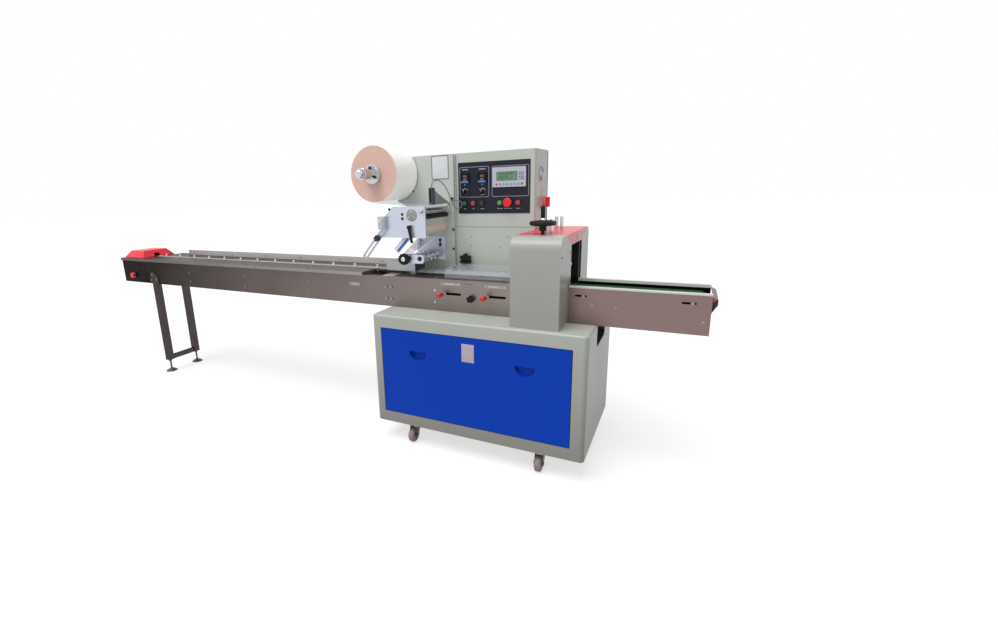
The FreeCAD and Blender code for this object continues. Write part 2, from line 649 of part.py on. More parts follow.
def forming_box():
    """The folding box that turns the film round the product."""
    half = FORMER_WIDTH / 2
    outer = box(FORMER_LEFT, FORMER_RIGHT, PATH_Y - half, PATH_Y + half, TABLE_TOP, TABLE_TOP + FORMER_HEIGHT)
    inner = box(FORMER_LEFT - 1, FORMER_RIGHT + 1, PATH_Y - half + THIN, PATH_Y + half - THIN,
                TABLE_TOP + THIN, TABLE_TOP + FORMER_HEIGHT - THIN)
    foot = box(FORMER_RIGHT - 34, FORMER_RIGHT - 4, PATH_Y - half + 10, PATH_Y + half - 10, APRON_TOP, TABLE_TOP)
    return join(cut(outer, inner), foot)


def centre_seal_unit():
    """The fin-seal unit: wall plate with slots, three cross rods and the front arm block."""
    plate = box(SEAL_PLATE_LEFT, SEAL_PLATE_RIGHT, PLATE_FRONT - 10, PLATE_FRONT, 880, 1003)
    slots = [box(x - 5, x + 5, PLATE_FRONT - 11, PLATE_FRONT + 1, 950, 990)
             for x in (SEAL_PLATE_LEFT + 23, SEAL_PLATE_RIGHT - 30)]
    plate = cut(plate, *slots)
    arm = box(SEAL_LEFT, SEAL_RIGHT, SEAL_FRONT, SEAL_FRONT + 24, SEAL_Z - 22, SEAL_Z + 22)
    arm = arm.makeFillet(16, [edge for edge in arm.Edges if along_y(edge)])
    rods = [rod(x, SEAL_FRONT + 24, SEAL_Z + 2, AY, 10, PLATE_FRONT - 10 - SEAL_FRONT - 24)
            for x in (SEAL_LEFT + 24, SEAL_RIGHT - 24)]
    ring = rod(SEAL_LEFT + 4, SEAL_FRONT - 26, SEAL_Z, AY, 23.5, 26)
    return join(plate, arm, ring, *rods)


def photo_sensor():
    """The registration sensor on its arm and gusset."""
    x = BASE_LEFT + 239.0
    arm_z = 1174.0
    arm = box(x - 8, x + 8, FRONT + 200, PLATE_FRONT, arm_z - 3, arm_z)
    gusset = prism_x([(FRONT + 240, arm_z), (PLATE_FRONT, arm_z), (FRONT + 240, arm_z + 66)], x - 1, x + 1)
    body = box(x - 9, x + 9, FRONT + 204, FRONT + 234, arm_z, arm_z + 76)
    return join(arm, gusset, body)


# ---- apron and deck -------------------------------------------------------------------------------------
def apron():
    """The folded stainless front with the deck over the gear housing."""
    face = box(APRON_LEFT, APRON_RIGHT, FRAME_FRONT, FRAME_FRONT + SHEET, BASE_TOP, APRON_TOP)
    deck = box(APRON_LEFT, DECK_RIGHT, FRAME_FRONT, PLATE_FRONT, APRON_TOP - SHEET, APRON_TOP)
    rear = box(APRON_LEFT, CABINET_RIGHT, PLATE_FRONT, CABINET_FRONT, APRON_TOP - SHEET, APRON_TOP)
    slots = [slot_y(x, x + SLOT_LENGTH, SLOT_Z, SLOT_HEIGHT, FRAME_FRONT - 1, FRAME_FRONT + SHEET + 1)
             for x in SLOT_LEFTS]
    star_hole = rod(STAR_X, FRAME_FRONT - 1, STAR_Z, AY, STEM_R + SLIP, SHEET + 2)
    return cut(join(face, deck, rear), star_hole, *slots)


def side_lever(slot_left):
    """A slide lever: stem through the slot, a block behind the sheet and a round grip."""
    x = slot_left + SLOT_LENGTH / 2 - LEVER_TRAVEL / 2
    block = box(x - 10, x + 10, FRAME_FRONT + SHEET + SEAT, FRAME_FRONT + SHEET + 10, SLOT_Z - 11, SLOT_Z + 11)
    stem = rod(x, FRAME_FRONT - 22, SLOT_Z, AY, LEVER_STEM_R, 26)
    grip = rod(x, FRAME_FRONT - 22 - GRIP_LENGTH, SLOT_Z, AY, GRIP_R, GRIP_LENGTH)
    grip = grip.makeChamfer(3, [edge for edge in grip.Edges if whole_circle(edge)])
    return join(block, stem, grip)


def star_knob():
    """The five-lobed lock knob on the apron."""
    face = FRAME_FRONT - SEAT
    knob = star(STAR_X, face - 8, STAR_Z, STAR_R, 16)
    boss = rod(STAR_X, face - 8, STAR_Z, AY, 8, 8)
    stem = rod(STAR_X, face, STAR_Z, AY, STEM_R, 10)
    return join(knob, boss, stem)


def clear_cover():
    """The clear bent cover over the sealed film on the deck."""
    half = COVER_WIDTH / 2
    outer = [(PATH_Y - half - 10, APRON_TOP), (PATH_Y + half + 10, APRON_TOP),
             (PATH_Y + half, APRON_TOP + COVER_HEIGHT), (PATH_Y - half, APRON_TOP + COVER_HEIGHT)]
    inner = [(PATH_Y - half - 6, APRON_TOP - 1), (PATH_Y + half + 6, APRON_TOP - 1),
             (PATH_Y + half - 4, APRON_TOP + COVER_HEIGHT - 4), (PATH_Y - half + 4, APRON_TOP + COVER_HEIGHT - 4)]
    return cut(prism_x(outer, COVER_LEFT, COVER_RIGHT), prism_x(inner, COVER_LEFT - 1, COVER_RIGHT + 1))


# ---- infeed ---------------------------------------------------------------------------------------------
def infeed_side_plates():
    """The two side plates with inward top flanges, joined at the infeed end."""
    flange = 24
    front = prism_x([(FRAME_FRONT, BASE_TOP), (FRAME_FRONT + SHEET, BASE_TOP),
                     (FRAME_FRONT + SHEET, FRAME_TOP - SHEET), (FRAME_FRONT + flange, FRAME_TOP - SHEET),
                     (FRAME_FRONT + flange, FRAME_TOP), (FRAME_FRONT, FRAME_TOP)], INFEED_END, APRON_LEFT)
    rear = prism_x([(FRAME_BACK, BASE_TOP), (FRAME_BACK - SHEET, BASE_TOP),
                    (FRAME_BACK - SHEET, FRAME_TOP - SHEET), (FRAME_BACK - flange, FRAME_TOP - SHEET),
                    (FRAME_BACK - flange, FRAME_TOP), (FRAME_BACK, FRAME_TOP)], INFEED_END, APRON_LEFT)
    end = box(INFEED_END, INFEED_END + SHEET, FRAME_FRONT, FRAME_BACK, BASE_TOP, FRAME_TOP)
    stop_hole = rod(INFEED_STOP_X, FRAME_FRONT - 1, INFEED_STOP_Z, AY, STEM_R + SLIP, SHEET + 2)
    plates = join(front, rear, end)
    return cut(plates, stop_hole)


def sprocket_z():
    """The height of the chain sprockets' axes."""
    return CHAIN_Z - CHAIN_THICK / 2 - SPROCKET_R


def infeed_table():
    """The folded table sheet with its chain slot, lips and the two rails it stands on."""
    left_back = TABLE_LEFT + COVERED_LENGTH
    strip_back = END_COVER_FRONT - 2
    tongue_front = PATH_Y - 43
    outline = [(TABLE_LEFT, TABLE_FRONT), (TABLE_RIGHT, TABLE_FRONT), (TABLE_RIGHT, tongue_front),
               (TABLE_TONGUE, tongue_front), (TABLE_TONGUE, TABLE_BACK), (left_back, TABLE_BACK),
               (left_back, strip_back), (TABLE_LEFT, strip_back)]
    sheet = prism_z(outline, TABLE_TOP - THIN, TABLE_TOP)
    slot = box(left_back - 1, TABLE_TONGUE - 15, PATH_Y - CHAIN_SLOT / 2, PATH_Y + CHAIN_SLOT / 2,
               TABLE_TOP - THIN - 1, TABLE_TOP + 1)
    lips = [box(TABLE_LEFT, TABLE_RIGHT, TABLE_FRONT, TABLE_FRONT + THIN, TABLE_TOP - TABLE_LIP, TABLE_TOP),
            box(left_back, TABLE_TONGUE, TABLE_BACK - THIN, TABLE_BACK, TABLE_TOP - TABLE_LIP, TABLE_TOP),
            box(TABLE_RIGHT - THIN, TABLE_RIGHT, TABLE_FRONT, tongue_front, TABLE_TOP - TABLE_LIP, TABLE_TOP)]
    rails = [box(TABLE_LEFT, TABLE_RIGHT - THIN, FRAME_FRONT + 1, FRAME_FRONT + 17, FRAME_TOP, TABLE_TOP - THIN),
             box(left_back, TABLE_TONGUE, FRAME_BACK - 17, FRAME_BACK - 1, FRAME_TOP, TABLE_TOP - THIN)]
    return join(cut(sheet, slot), *lips, *rails)


def infeed_fence():
    """The far fence: an angle along the table."""
    outline = [(FENCE_Y, TABLE_TOP), (FENCE_Y + 20, TABLE_TOP), (FENCE_Y + 20, TABLE_TOP + THIN),
               (FENCE_Y + THIN, TABLE_TOP + THIN), (FENCE_Y + THIN, TABLE_TOP + FENCE_HEIGHT),
               (FENCE_Y, TABLE_TOP + FENCE_HEIGHT)]
    return prism_x(outline, FENCE_LEFT, FENCE_RIGHT)


def frustum(x0, x1, y0, y1, z0, z1, inset):
    """A block whose four sides slope in towards the top."""
    low = Part.makePolygon([V(x0, y0, z0), V(x1, y0, z0), V(x1, y1, z0), V(x0, y1, z0), V(x0, y0, z0)])
    high = Part.makePolygon([V(x0 + inset, y0 + inset, z1), V(x1 - inset, y0 + inset, z1),
                             V(x1 - inset, y1 - inset, z1), V(x0 + inset, y1 - inset, z1),
                             V(x0 + inset, y0 + inset, z1)])
    return Part.makeLoft([low, high], True, True)


def infeed_end_cover():
    """The red end cover: a hollow truncated pyramid with a hole for the pushers."""
    x0, x1 = END_COVER_LEFT, END_COVER_LEFT + END_COVER_LENGTH
    y0, y1 = END_COVER_FRONT, END_COVER_FRONT + END_COVER_WIDTH
    top = TABLE_TOP + END_COVER_RISE
    outer = join(box(x0, x1, y0, y1, FRAME_TOP, TABLE_TOP), frustum(x0, x1, y0, y1, TABLE_TOP, top, END_COVER_SLOPE))
    inner = join(box(x0 + THIN, x1 - THIN, y0 + THIN, y1 - THIN, FRAME_TOP - 1, TABLE_TOP),
                 frustum(x0 + THIN, x1 - THIN, y0 + THIN, y1 - THIN, TABLE_TOP, top - THIN, END_COVER_SLOPE))
    mouth = box(x1 - 50, x1 + 1, PATH_Y - 23, PATH_Y + 23, FRAME_TOP - 1, TABLE_TOP + 22)
    return cut(outer, inner, mouth)


def stadium(x0, x1, z, radius, y0, y1):
    """A solid with a race-track outline round two axes along Y."""
    ends = [rod(x, y0, z, AY, radius, y1 - y0) for x in (x0, x1)]
    return join(box(x0, x1, y0, y1, z - radius, z + radius), *ends)


def infeed_chain():
    """The conveyor chain as one loop round its sprockets."""
    y0, y1 = PATH_Y - CHAIN_WIDTH / 2, PATH_Y + CHAIN_WIDTH / 2
    outer = stadium(SPROCKET_LEFT, SPROCKET_RIGHT, sprocket_z(), SPROCKET_R + CHAIN_THICK, y0, y1)
    inner = stadium(SPROCKET_LEFT, SPROCKET_RIGHT, sprocket_z(), SPROCKET_R, y0 - 1, y1 + 1)
    return cut(outer, inner)


def infeed_pushers():
    """The pushers that stand on the chain and pass through the table's slot."""
    base = CHAIN_Z + CHAIN_THICK / 2
    count = int((SPROCKET_RIGHT - SPROCKET_LEFT) / PUSHER_PITCH)
    low = sprocket_z() - SPROCKET_R - CHAIN_THICK
    rise = TABLE_TOP + PUSHER_RISE - base
    half = PUSHER_WIDTH / 2
    pushers = []
    for index in range(count + 1):
        x = SPROCKET_RIGHT - 30 - index * PUSHER_PITCH
        pushers.append(box(x - half, x + half, PATH_Y - half, PATH_Y + half, base, base + rise))
        pushers.append(box(x - half, x + half, PATH_Y - half, PATH_Y + half, low - rise, low))
    return group(pushers)


def drive_rollers():
    """The chain sprockets and the outfeed belt's rollers on their shafts."""
    inner_front = FRAME_FRONT + SHEET
    inner_back = FRAME_BACK - SHEET
    pieces = []
    for x in (SPROCKET_LEFT, SPROCKET_RIGHT):
        disc = rod(x, PATH_Y - 4, sprocket_z(), AY, SPROCKET_R, 8)
        shaft = rod(x, inner_front, sprocket_z(), AY, 10, inner_back - inner_front)
        pieces.append(join(disc, shaft))
    outfeed_back = FRAME_FRONT + OUTFEED_WIDTH - SHEET
    roller_z = BELT_TOP - BELT_THICK - BELT_ROLLER_R
    middle = (inner_front + outfeed_back) / 2
    for x, back in ((BELT_LEFT, outfeed_back), (BELT_RIGHT, outfeed_back)):
        roller = rod(x, middle - BELT_WIDTH / 2 - 4, roller_z, AY, BELT_ROLLER_R, BELT_WIDTH + 8)
        shaft = rod(x, inner_front, roller_z, AY, 8, back - inner_front)
        pieces.append(join(roller, shaft))
    return group(pieces)


def leg_fronts():
    """The front faces of the stand's two legs, inside the side plates."""
    return (FRAME_FRONT + SHEET, FRAME_BACK - SHEET - LEG_SIZE)


def infeed_stand():
    """The H-shaped stand: two legs, a cross bar and the bracket plates on the side plates."""
    x0, x1 = STAND_X - LEG_SIZE / 2, STAND_X + LEG_SIZE / 2
    legs = [box(x0, x1, y, y + LEG_SIZE, LEG_BOTTOM, LEG_TOP) for y in leg_fronts()]
    bar = box(x0 + 6, x1 - 6, leg_fronts()[0] + LEG_SIZE, leg_fronts()[1], LEG_BOTTOM, LEG_BOTTOM + 30)
    brackets = []
    for y in (FRAME_FRONT - 4, FRAME_BACK):
        outline = [(x0 - 3, BASE_TOP), (x1 + 45, BASE_TOP), (x1 + 45, BASE_TOP + 42), (x1 + 8, BASE_TOP + 80),
                   (x0 + 8, BASE_TOP + 80), (x0 - 3, BASE_TOP + 66)]
        brackets.append(prism_y(outline, y, y + 4))
    return group([join(*legs, bar)] + brackets)


def levelling_feet():
    """Two levelling feet: domed pad, lock nut and stud up to the leg's end."""
    feet = []
    for y in leg_fronts():
        middle = y + LEG_SIZE / 2
        pad = Part.makeCone(FOOT_R, FOOT_R - 4, 6, V(STAND_X, middle, 0), AZ)
        dome = Part.makeCone(FOOT_R - 4, 13, 12, V(STAND_X, middle, 6), AZ)
        stud = rod(STAND_X, middle, 18, AZ, FOOT_STUD_R, LEG_BOTTOM - 18)
        nut = rod(STAND_X, middle, LEG_BOTTOM - 10, AZ, 11, 10)
        feet.append(join(pad, dome, stud, nut))
    return group(feet)


# ---- end sealer -----------------------------------------------------------------------------------------
def sealer_covers():
    """The two painted covers either side of the sealing tunnel."""
    x0, x1 = SEALER_LEFT, SEALER_LEFT + SEALER_LENGTH
    step = APRON_TOP
    front = prism_x([(SEALER_FRONT, BASE_TOP), (FRAME_FRONT - SEAT, BASE_TOP), (FRAME_FRONT - SEAT, step),
                     (TUNNEL_FRONT, step), (TUNNEL_FRONT, GUARD_BOTTOM), (GUARD_FRONT, SEALER_TOP),
                     (SEALER_FRONT, SEALER_TOP)], x0, x1)
    nose = [edge for edge in front.Edges if level_x(edge) and abs(edge.Vertexes[0].Y - SEALER_FRONT) < 0.01
            and abs(edge.Vertexes[0].Z - SEALER_TOP) < 0.01]
    front = front.makeFillet(SEALER_R, nose)
    rear = prism_x([(TUNNEL_BACK, BASE_TOP), (SEALER_BACK, BASE_TOP), (SEALER_BACK, SEALER_TOP),
                    (GUARD_BACK, SEALER_TOP), (TUNNEL_BACK, GUARD_BOTTOM)], x0, x1)
    tail = [edge for edge in rear.Edges if level_x(edge) and abs(edge.Vertexes[0].Y - SEALER_BACK) < 0.01
            and abs(edge.Vertexes[0].Z - SEALER_TOP) < 0.01]
    rear = rear.makeFillet(SEALER_BACK - GUARD_BACK - 5, tail)
    return group([front, rear])


def post_places():
    """The four guide posts of the sealing jaws."""
    rows = (TUNNEL_FRONT + JAW_PLATE / 2, TUNNEL_BACK - JAW_PLATE / 2)
    return [(JAW_X + side * POST_SPACING / 2, y) for y in rows for side in (-1, 1)]


def sealer_guard():
    """The red guard between the covers' tops, holed for the posts and the handwheel's screw."""
    outline = [(GUARD_FRONT, SEALER_TOP), (GUARD_BACK, SEALER_TOP), (TUNNEL_BACK, GUARD_BOTTOM),
               (TUNNEL_FRONT, GUARD_BOTTOM)]
    guard = prism_x(outline, SEALER_LEFT, SEALER_LEFT + SEALER_LENGTH)
    holes = [rod(x, y, GUARD_BOTTOM - 1, AZ, POST_R + 0.5, SEALER_TOP - GUARD_BOTTOM + 2)
             for x, y in post_places()]
    screw = rod(HANDWHEEL_X, HANDWHEEL_Y, SEALER_TOP - 16, AZ, 8 + SLIP, 17)
    return cut(guard, screw, *holes)


def jaw_frame():
    """The black jaw frame in the tunnel: side plates, upper and lower jaw bars and the chrome posts."""
    x0, x1 = SEALER_LEFT + 6, SEALER_LEFT + SEALER_LENGTH - 6
    low, high = APRON_TOP, GUARD_BOTTOM
    plates = [box(x0, x1, y, y + JAW_PLATE, low, high) for y in (TUNNEL_FRONT, TUNNEL_BACK - JAW_PLATE)]
    inner = (TUNNEL_FRONT + JAW_PLATE, TUNNEL_BACK - JAW_PLATE)
    head = box(JAW_X - 30, JAW_X + 30, inner[0], inner[1], high - 45, high)
    jaw = box(JAW_X - 14, JAW_X + 14, inner[0], inner[1], high - 75, high - 45)
    posts = [rod(x, y, high - 5, AZ, POST_R, POST_TOP - high + 5) for x, y in post_places()]
    return join(*plates, head, jaw, *posts)


def handwheel():
    """The handwheel with its holed web, hub, screw end and upright grip."""
    x, y, z = HANDWHEEL_X, HANDWHEEL_Y, HANDWHEEL_Z
    rim = rod(x, y, z, AZ, HANDWHEEL_R, HANDWHEEL_RIM)
    rim = rim.makeChamfer(5, [edge for edge in rim.Edges if whole_circle(edge)])
    rim = rim.cut(rod(x, y, z - 1, AZ, HANDWHEEL_R - HANDWHEEL_RIM, HANDWHEEL_RIM + 2))
    web = rod(x, y, z + 4, AZ, HANDWHEEL_R - HANDWHEEL_RIM / 2, 6)
    windows = []
    for index in range(3):
        angle = math.radians(30 + 120 * index)
        windows.append(rod(x + 30 * math.cos(angle), y + 30 * math.sin(angle), z, AZ, 11, 20))
    hub = rod(x, y, SEALER_TOP + 14, AZ, 15, z + 14 - SEALER_TOP - 14)
    screw = rod(x, y, SEALER_TOP - 14, AZ, 8, 30)
    grip_x = x - 13
    grip_y = y + 46
    grip = rod(grip_x, grip_y, z + 10, AZ, 9.5, 69)
    grip = grip.makeChamfer(3, [edge for edge in grip.Edges if level_at(edge, z + 79)])
    return join(cut(web, *windows), rim, hub, screw, grip)


# ---- outfeed --------------------------------------------------------------------------------------------
def outfeed_side_plates():
    """The two outfeed side plates with folded flanges and belt-tension slots."""
    back = FRAME_FRONT + OUTFEED_WIDTH
    lip = 13
    front = prism_x([(FRAME_FRONT, BASE_TOP), (FRAME_FRONT + SHEET, BASE_TOP),
                     (FRAME_FRONT + SHEET, OUTFEED_TOP - THIN),
                     (FRAME_FRONT + OUTFEED_FLANGE - THIN, OUTFEED_TOP - THIN),
                     (FRAME_FRONT + OUTFEED_FLANGE - THIN, OUTFEED_TOP - lip),
                     (FRAME_FRONT + OUTFEED_FLANGE, OUTFEED_TOP - lip),
                     (FRAME_FRONT + OUTFEED_FLANGE, OUTFEED_TOP), (FRAME_FRONT, OUTFEED_TOP)],
                    OUTFEED_LEFT, OUTFEED_RIGHT)
    rear = prism_x([(back, BASE_TOP), (back - SHEET, BASE_TOP), (back - SHEET, OUTFEED_TOP - THIN),
                    (back - OUTFEED_FLANGE + THIN, OUTFEED_TOP - THIN),
                    (back - OUTFEED_FLANGE + THIN, OUTFEED_TOP - lip),
                    (back - OUTFEED_FLANGE, OUTFEED_TOP - lip), (back - OUTFEED_FLANGE, OUTFEED_TOP),
                    (back, OUTFEED_TOP)], OUTFEED_LEFT, OUTFEED_RIGHT)
    slots = [slot_y(x, x + 52, 785, 9, FRAME_FRONT - 1, FRAME_FRONT + SHEET + 1)
             for x in (OUTFEED_LEFT + 23, OUTFEED_RIGHT - 103)]
    ties = [rod(x, FRAME_FRONT + SHEET, 748, AY, 7, OUTFEED_WIDTH - 2 * SHEET)
            for x in (OUTFEED_LEFT + 99, OUTFEED_LEFT + 193)]
    return join(cut(front, *slots), rear, *ties)


def outfeed_belt():
    """The belt as one loop round its rollers."""
    z = BELT_TOP - BELT_THICK - BELT_ROLLER_R
    middle = FRAME_FRONT + OUTFEED_WIDTH / 2
    y0, y1 = middle - BELT_WIDTH / 2, middle + BELT_WIDTH / 2
    outer = stadium(BELT_LEFT, BELT_RIGHT, z, BELT_ROLLER_R + BELT_THICK, y0, y1)
    inner = stadium(BELT_LEFT, BELT_RIGHT, z, BELT_ROLLER_R, y0 - 1, y1 + 1)
    return cut(outer, inner)


def outfeed_nose():
    """The folded end sheet of the outfeed."""
    outline = [(OUTFEED_RIGHT, 752), (NOSE_TIP, 784), (NOSE_TIP, 804), (OUTFEED_RIGHT, 813),
               (OUTFEED_RIGHT, 810), (NOSE_TIP - SHEET, 802), (NOSE_TIP - SHEET, 786), (OUTFEED_RIGHT, 756)]
    return prism_y(outline, FRAME_FRONT, FRAME_FRONT + OUTFEED_WIDTH)


def build_parts():
    """Every sub-part by its node name."""
    parts = {
        "base_cabinet": base_cabinet(), "front_panel": front_panel(), "machine_body": machine_body(),
        "control_cabinet": control_cabinet(), "operator_panel": operator_panel(),
        "operator_display": operator_display(), "temperature_controllers": temperature_controllers(),
        "push_buttons": push_buttons(), "isolator_base": isolator_base(), "isolator_handle": isolator_handle(),
        "wall_knob": wall_knob(), "reel_plate": reel_plate(), "film_roll": film_roll(),
        "reel_shaft": reel_shaft(), "film_unit_plate": film_unit_plate(), "clamp_lever": clamp_lever(),
        "film_guide_arm": film_guide_arm(), "film_web": film_web(), "forming_box": forming_box(),
        "centre_seal_unit": centre_seal_unit(), "photo_sensor": photo_sensor(), "apron": apron(),
        "star_knob": star_knob(), "clear_cover": clear_cover(), "infeed_side_plates": infeed_side_plates(),
        "infeed_table": infeed_table(), "infeed_fence": infeed_fence(), "infeed_end_cover": infeed_end_cover(),
        "infeed_chain": infeed_chain(), "infeed_pushers": infeed_pushers(), "drive_rollers": drive_rollers(),
        "infeed_stand": infeed_stand(), "levelling_feet": levelling_feet(), "sealer_covers": sealer_covers(),
        "sealer_guard": sealer_guard(), "jaw_frame": jaw_frame(), "handwheel": handwheel(),
        "outfeed_side_plates": outfeed_side_plates(), "outfeed_belt": outfeed_belt(),
        "outfeed_nose": outfeed_nose(),
    }
    for name, place in zip(("top_idler", "lower_idler", "draw_roller"), film_rollers()):
        parts[name] = film_roller(place)
    for name, left in zip(("left_lever", "right_lever"), SLOT_LEFTS):
        parts[name] = side_lever(left)
    for name, offset in zip(("selector_left", "selector_right"), SELECTOR_OFFSETS):
        parts[name] = selector(offset)
    parts["emergency_stop"] = mushroom_button(SCREEN_LEFT + STOP_OFFSET, CABINET_FRONT - SCREEN_THICK,
                                              BUTTON_Z, STOP_R, STOP_TRAVEL)
    parts["infeed_stop_button"] = mushroom_button(INFEED_STOP_X, FRAME_FRONT, INFEED_STOP_Z,
                                                  INFEED_STOP_R, STOP_TRAVEL)
    for number, (x, y) in enumerate(castor_places(), 1):
        parts[f"castor_fork_{number}"] = castor_fork(x, y)
        parts[f"castor_wheel_{number}"] = castor_wheel(x, y)
    return parts


os.makedirs("parts", exist_ok=True)
for node, shape in build_parts().items():
    shape.exportStep(f"parts/{node}.step")
    size = shape.BoundBox
    print(f"{node}: {len(shape.Solids)} solid(s), valid {shape.isValid()}, "
          f"{size.XLength:.0f} x {size.YLength:.0f} x {size.ZLength:.0f}")
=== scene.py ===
"""Looks of a horizontal flow wrapper: infeed conveyor, cabinet base, film reel, forming unit, end sealer.

Metres, in the frame of the solids: X with the product flow, Y from the operator's side to the back, Z up.
Each sub-assembly is a class that builds its own pieces; each finish is a small frozen dataclass.
"""

import json
import logging
import math
from dataclasses import dataclass
from enum import Enum
from typing import Iterable, Optional, Sequence

import bmesh
import bpy
from mathutils import Matrix, Vector

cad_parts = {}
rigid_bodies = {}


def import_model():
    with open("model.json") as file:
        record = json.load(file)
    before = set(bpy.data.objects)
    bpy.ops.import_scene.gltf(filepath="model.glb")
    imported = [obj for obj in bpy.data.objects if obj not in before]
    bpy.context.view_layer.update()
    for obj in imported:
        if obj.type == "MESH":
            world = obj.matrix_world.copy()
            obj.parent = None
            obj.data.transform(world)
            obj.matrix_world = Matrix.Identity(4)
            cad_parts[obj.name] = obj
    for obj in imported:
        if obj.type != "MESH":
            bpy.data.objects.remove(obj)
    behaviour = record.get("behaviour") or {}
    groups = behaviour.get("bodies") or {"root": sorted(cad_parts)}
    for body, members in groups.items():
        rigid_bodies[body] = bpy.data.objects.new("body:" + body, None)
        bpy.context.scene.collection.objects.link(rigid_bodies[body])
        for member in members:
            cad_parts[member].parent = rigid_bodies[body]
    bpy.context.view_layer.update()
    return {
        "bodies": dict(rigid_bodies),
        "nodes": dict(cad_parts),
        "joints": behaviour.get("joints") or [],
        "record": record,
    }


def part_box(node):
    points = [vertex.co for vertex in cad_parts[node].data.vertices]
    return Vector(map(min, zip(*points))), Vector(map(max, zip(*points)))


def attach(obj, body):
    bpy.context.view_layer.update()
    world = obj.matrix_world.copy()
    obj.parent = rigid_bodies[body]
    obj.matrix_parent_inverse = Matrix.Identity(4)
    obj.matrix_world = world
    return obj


LOG = logging.getLogger("flow_wrapper")
MM = 0.001
Point = tuple[float, float, float]


class Axis(Enum):
    """The direction that a round or flat piece faces."""

    X = Matrix.Rotation(math.pi / 2, 3, "Y")
    Y = Matrix.Rotation(math.pi / 2, 3, "X")
    Z = Matrix.Identity(3)


def colour(red: int, green: int, blue: int) -> tuple[float, float, float, float]:
    """Linear colour of a paint given as ordinary 0 to 255 screen values.

    Args:
        red: Red share.
        green: Green share.
        blue: Blue share.

    Returns:
        The linear red, green, blue and an alpha of one.
    """
    def linear(share: int) -> float:
        """Linear light of one 0 to 255 share."""
        level = share / 255
        return level / 12.92 if level <= 0.04045 else ((level + 0.055) / 1.055) ** 2.4

    return linear(red), linear(green), linear(blue), 1.0


# ---- shader nodes ---------------------------------------------------------------------------------------
class Value:
    """A number socket that takes part in Python arithmetic by adding Math nodes."""

    def __init__(self, shader: "Shader", socket: bpy.types.NodeSocket) -> None:
        """Wraps an output socket of a shader's tree."""
        self.shader = shader
        self.socket = socket

    def math(self, operation: str, first: "Number", second: "Number" = 0.0, clamp: bool = False) -> "Value":
        """One Math node.

        Args:
            operation: The node's operation.
            first: Its first value.
            second: Its second value.
            clamp: Whether the result is held between 0 and 1.

        Returns:
            The node's result.
        """
        node = self.shader.node("ShaderNodeMath", {"operation": operation, "use_clamp": clamp},
                                {0: first, 1: second})
        return Value(self.shader, node.outputs[0])

    def __add__(self, other: "Number") -> "Value":
        """Sum."""
        return self.math("ADD", self, other)

    __radd__ = __add__

    def __sub__(self, other: "Number") -> "Value":
        """Difference."""
        return self.math("SUBTRACT", self, other)

    def __rsub__(self, other: "Number") -> "Value":
        """Difference the other way round."""
        return self.math("SUBTRACT", other, self)

    def __mul__(self, other: "Number") -> "Value":
        """Product."""
        return self.math("MULTIPLY", self, other)

    __rmul__ = __mul__

    def __truediv__(self, other: "Number") -> "Value":
        """Quotient."""
        return self.math("DIVIDE", self, other)

    def __gt__(self, other: "Number") -> "Value":
        """1 where this is larger, otherwise 0."""
        return self.math("GREATER_THAN", self, other)

    def __lt__(self, other: "Number") -> "Value":
        """1 where this is smaller, otherwise 0."""
        return self.math("LESS_THAN", self, other)

    def fraction(self) -> "Value":
        """The part after the decimal point."""
        return self.math("FRACT", self)

    def magnitude(self) -> "Value":
        """The value without its sign."""
        return self.math("ABSOLUTE", self)

    def clamped(self) -> "Value":
        """The value held between 0 and 1."""
        return self.math("ADD", self, 0.0, clamp=True)

    def between(self, low: "Number", high: "Number") -> "Value":
        """1 between two values, otherwise 0."""
        return (self > low) * (self < high)


Number = float | Value


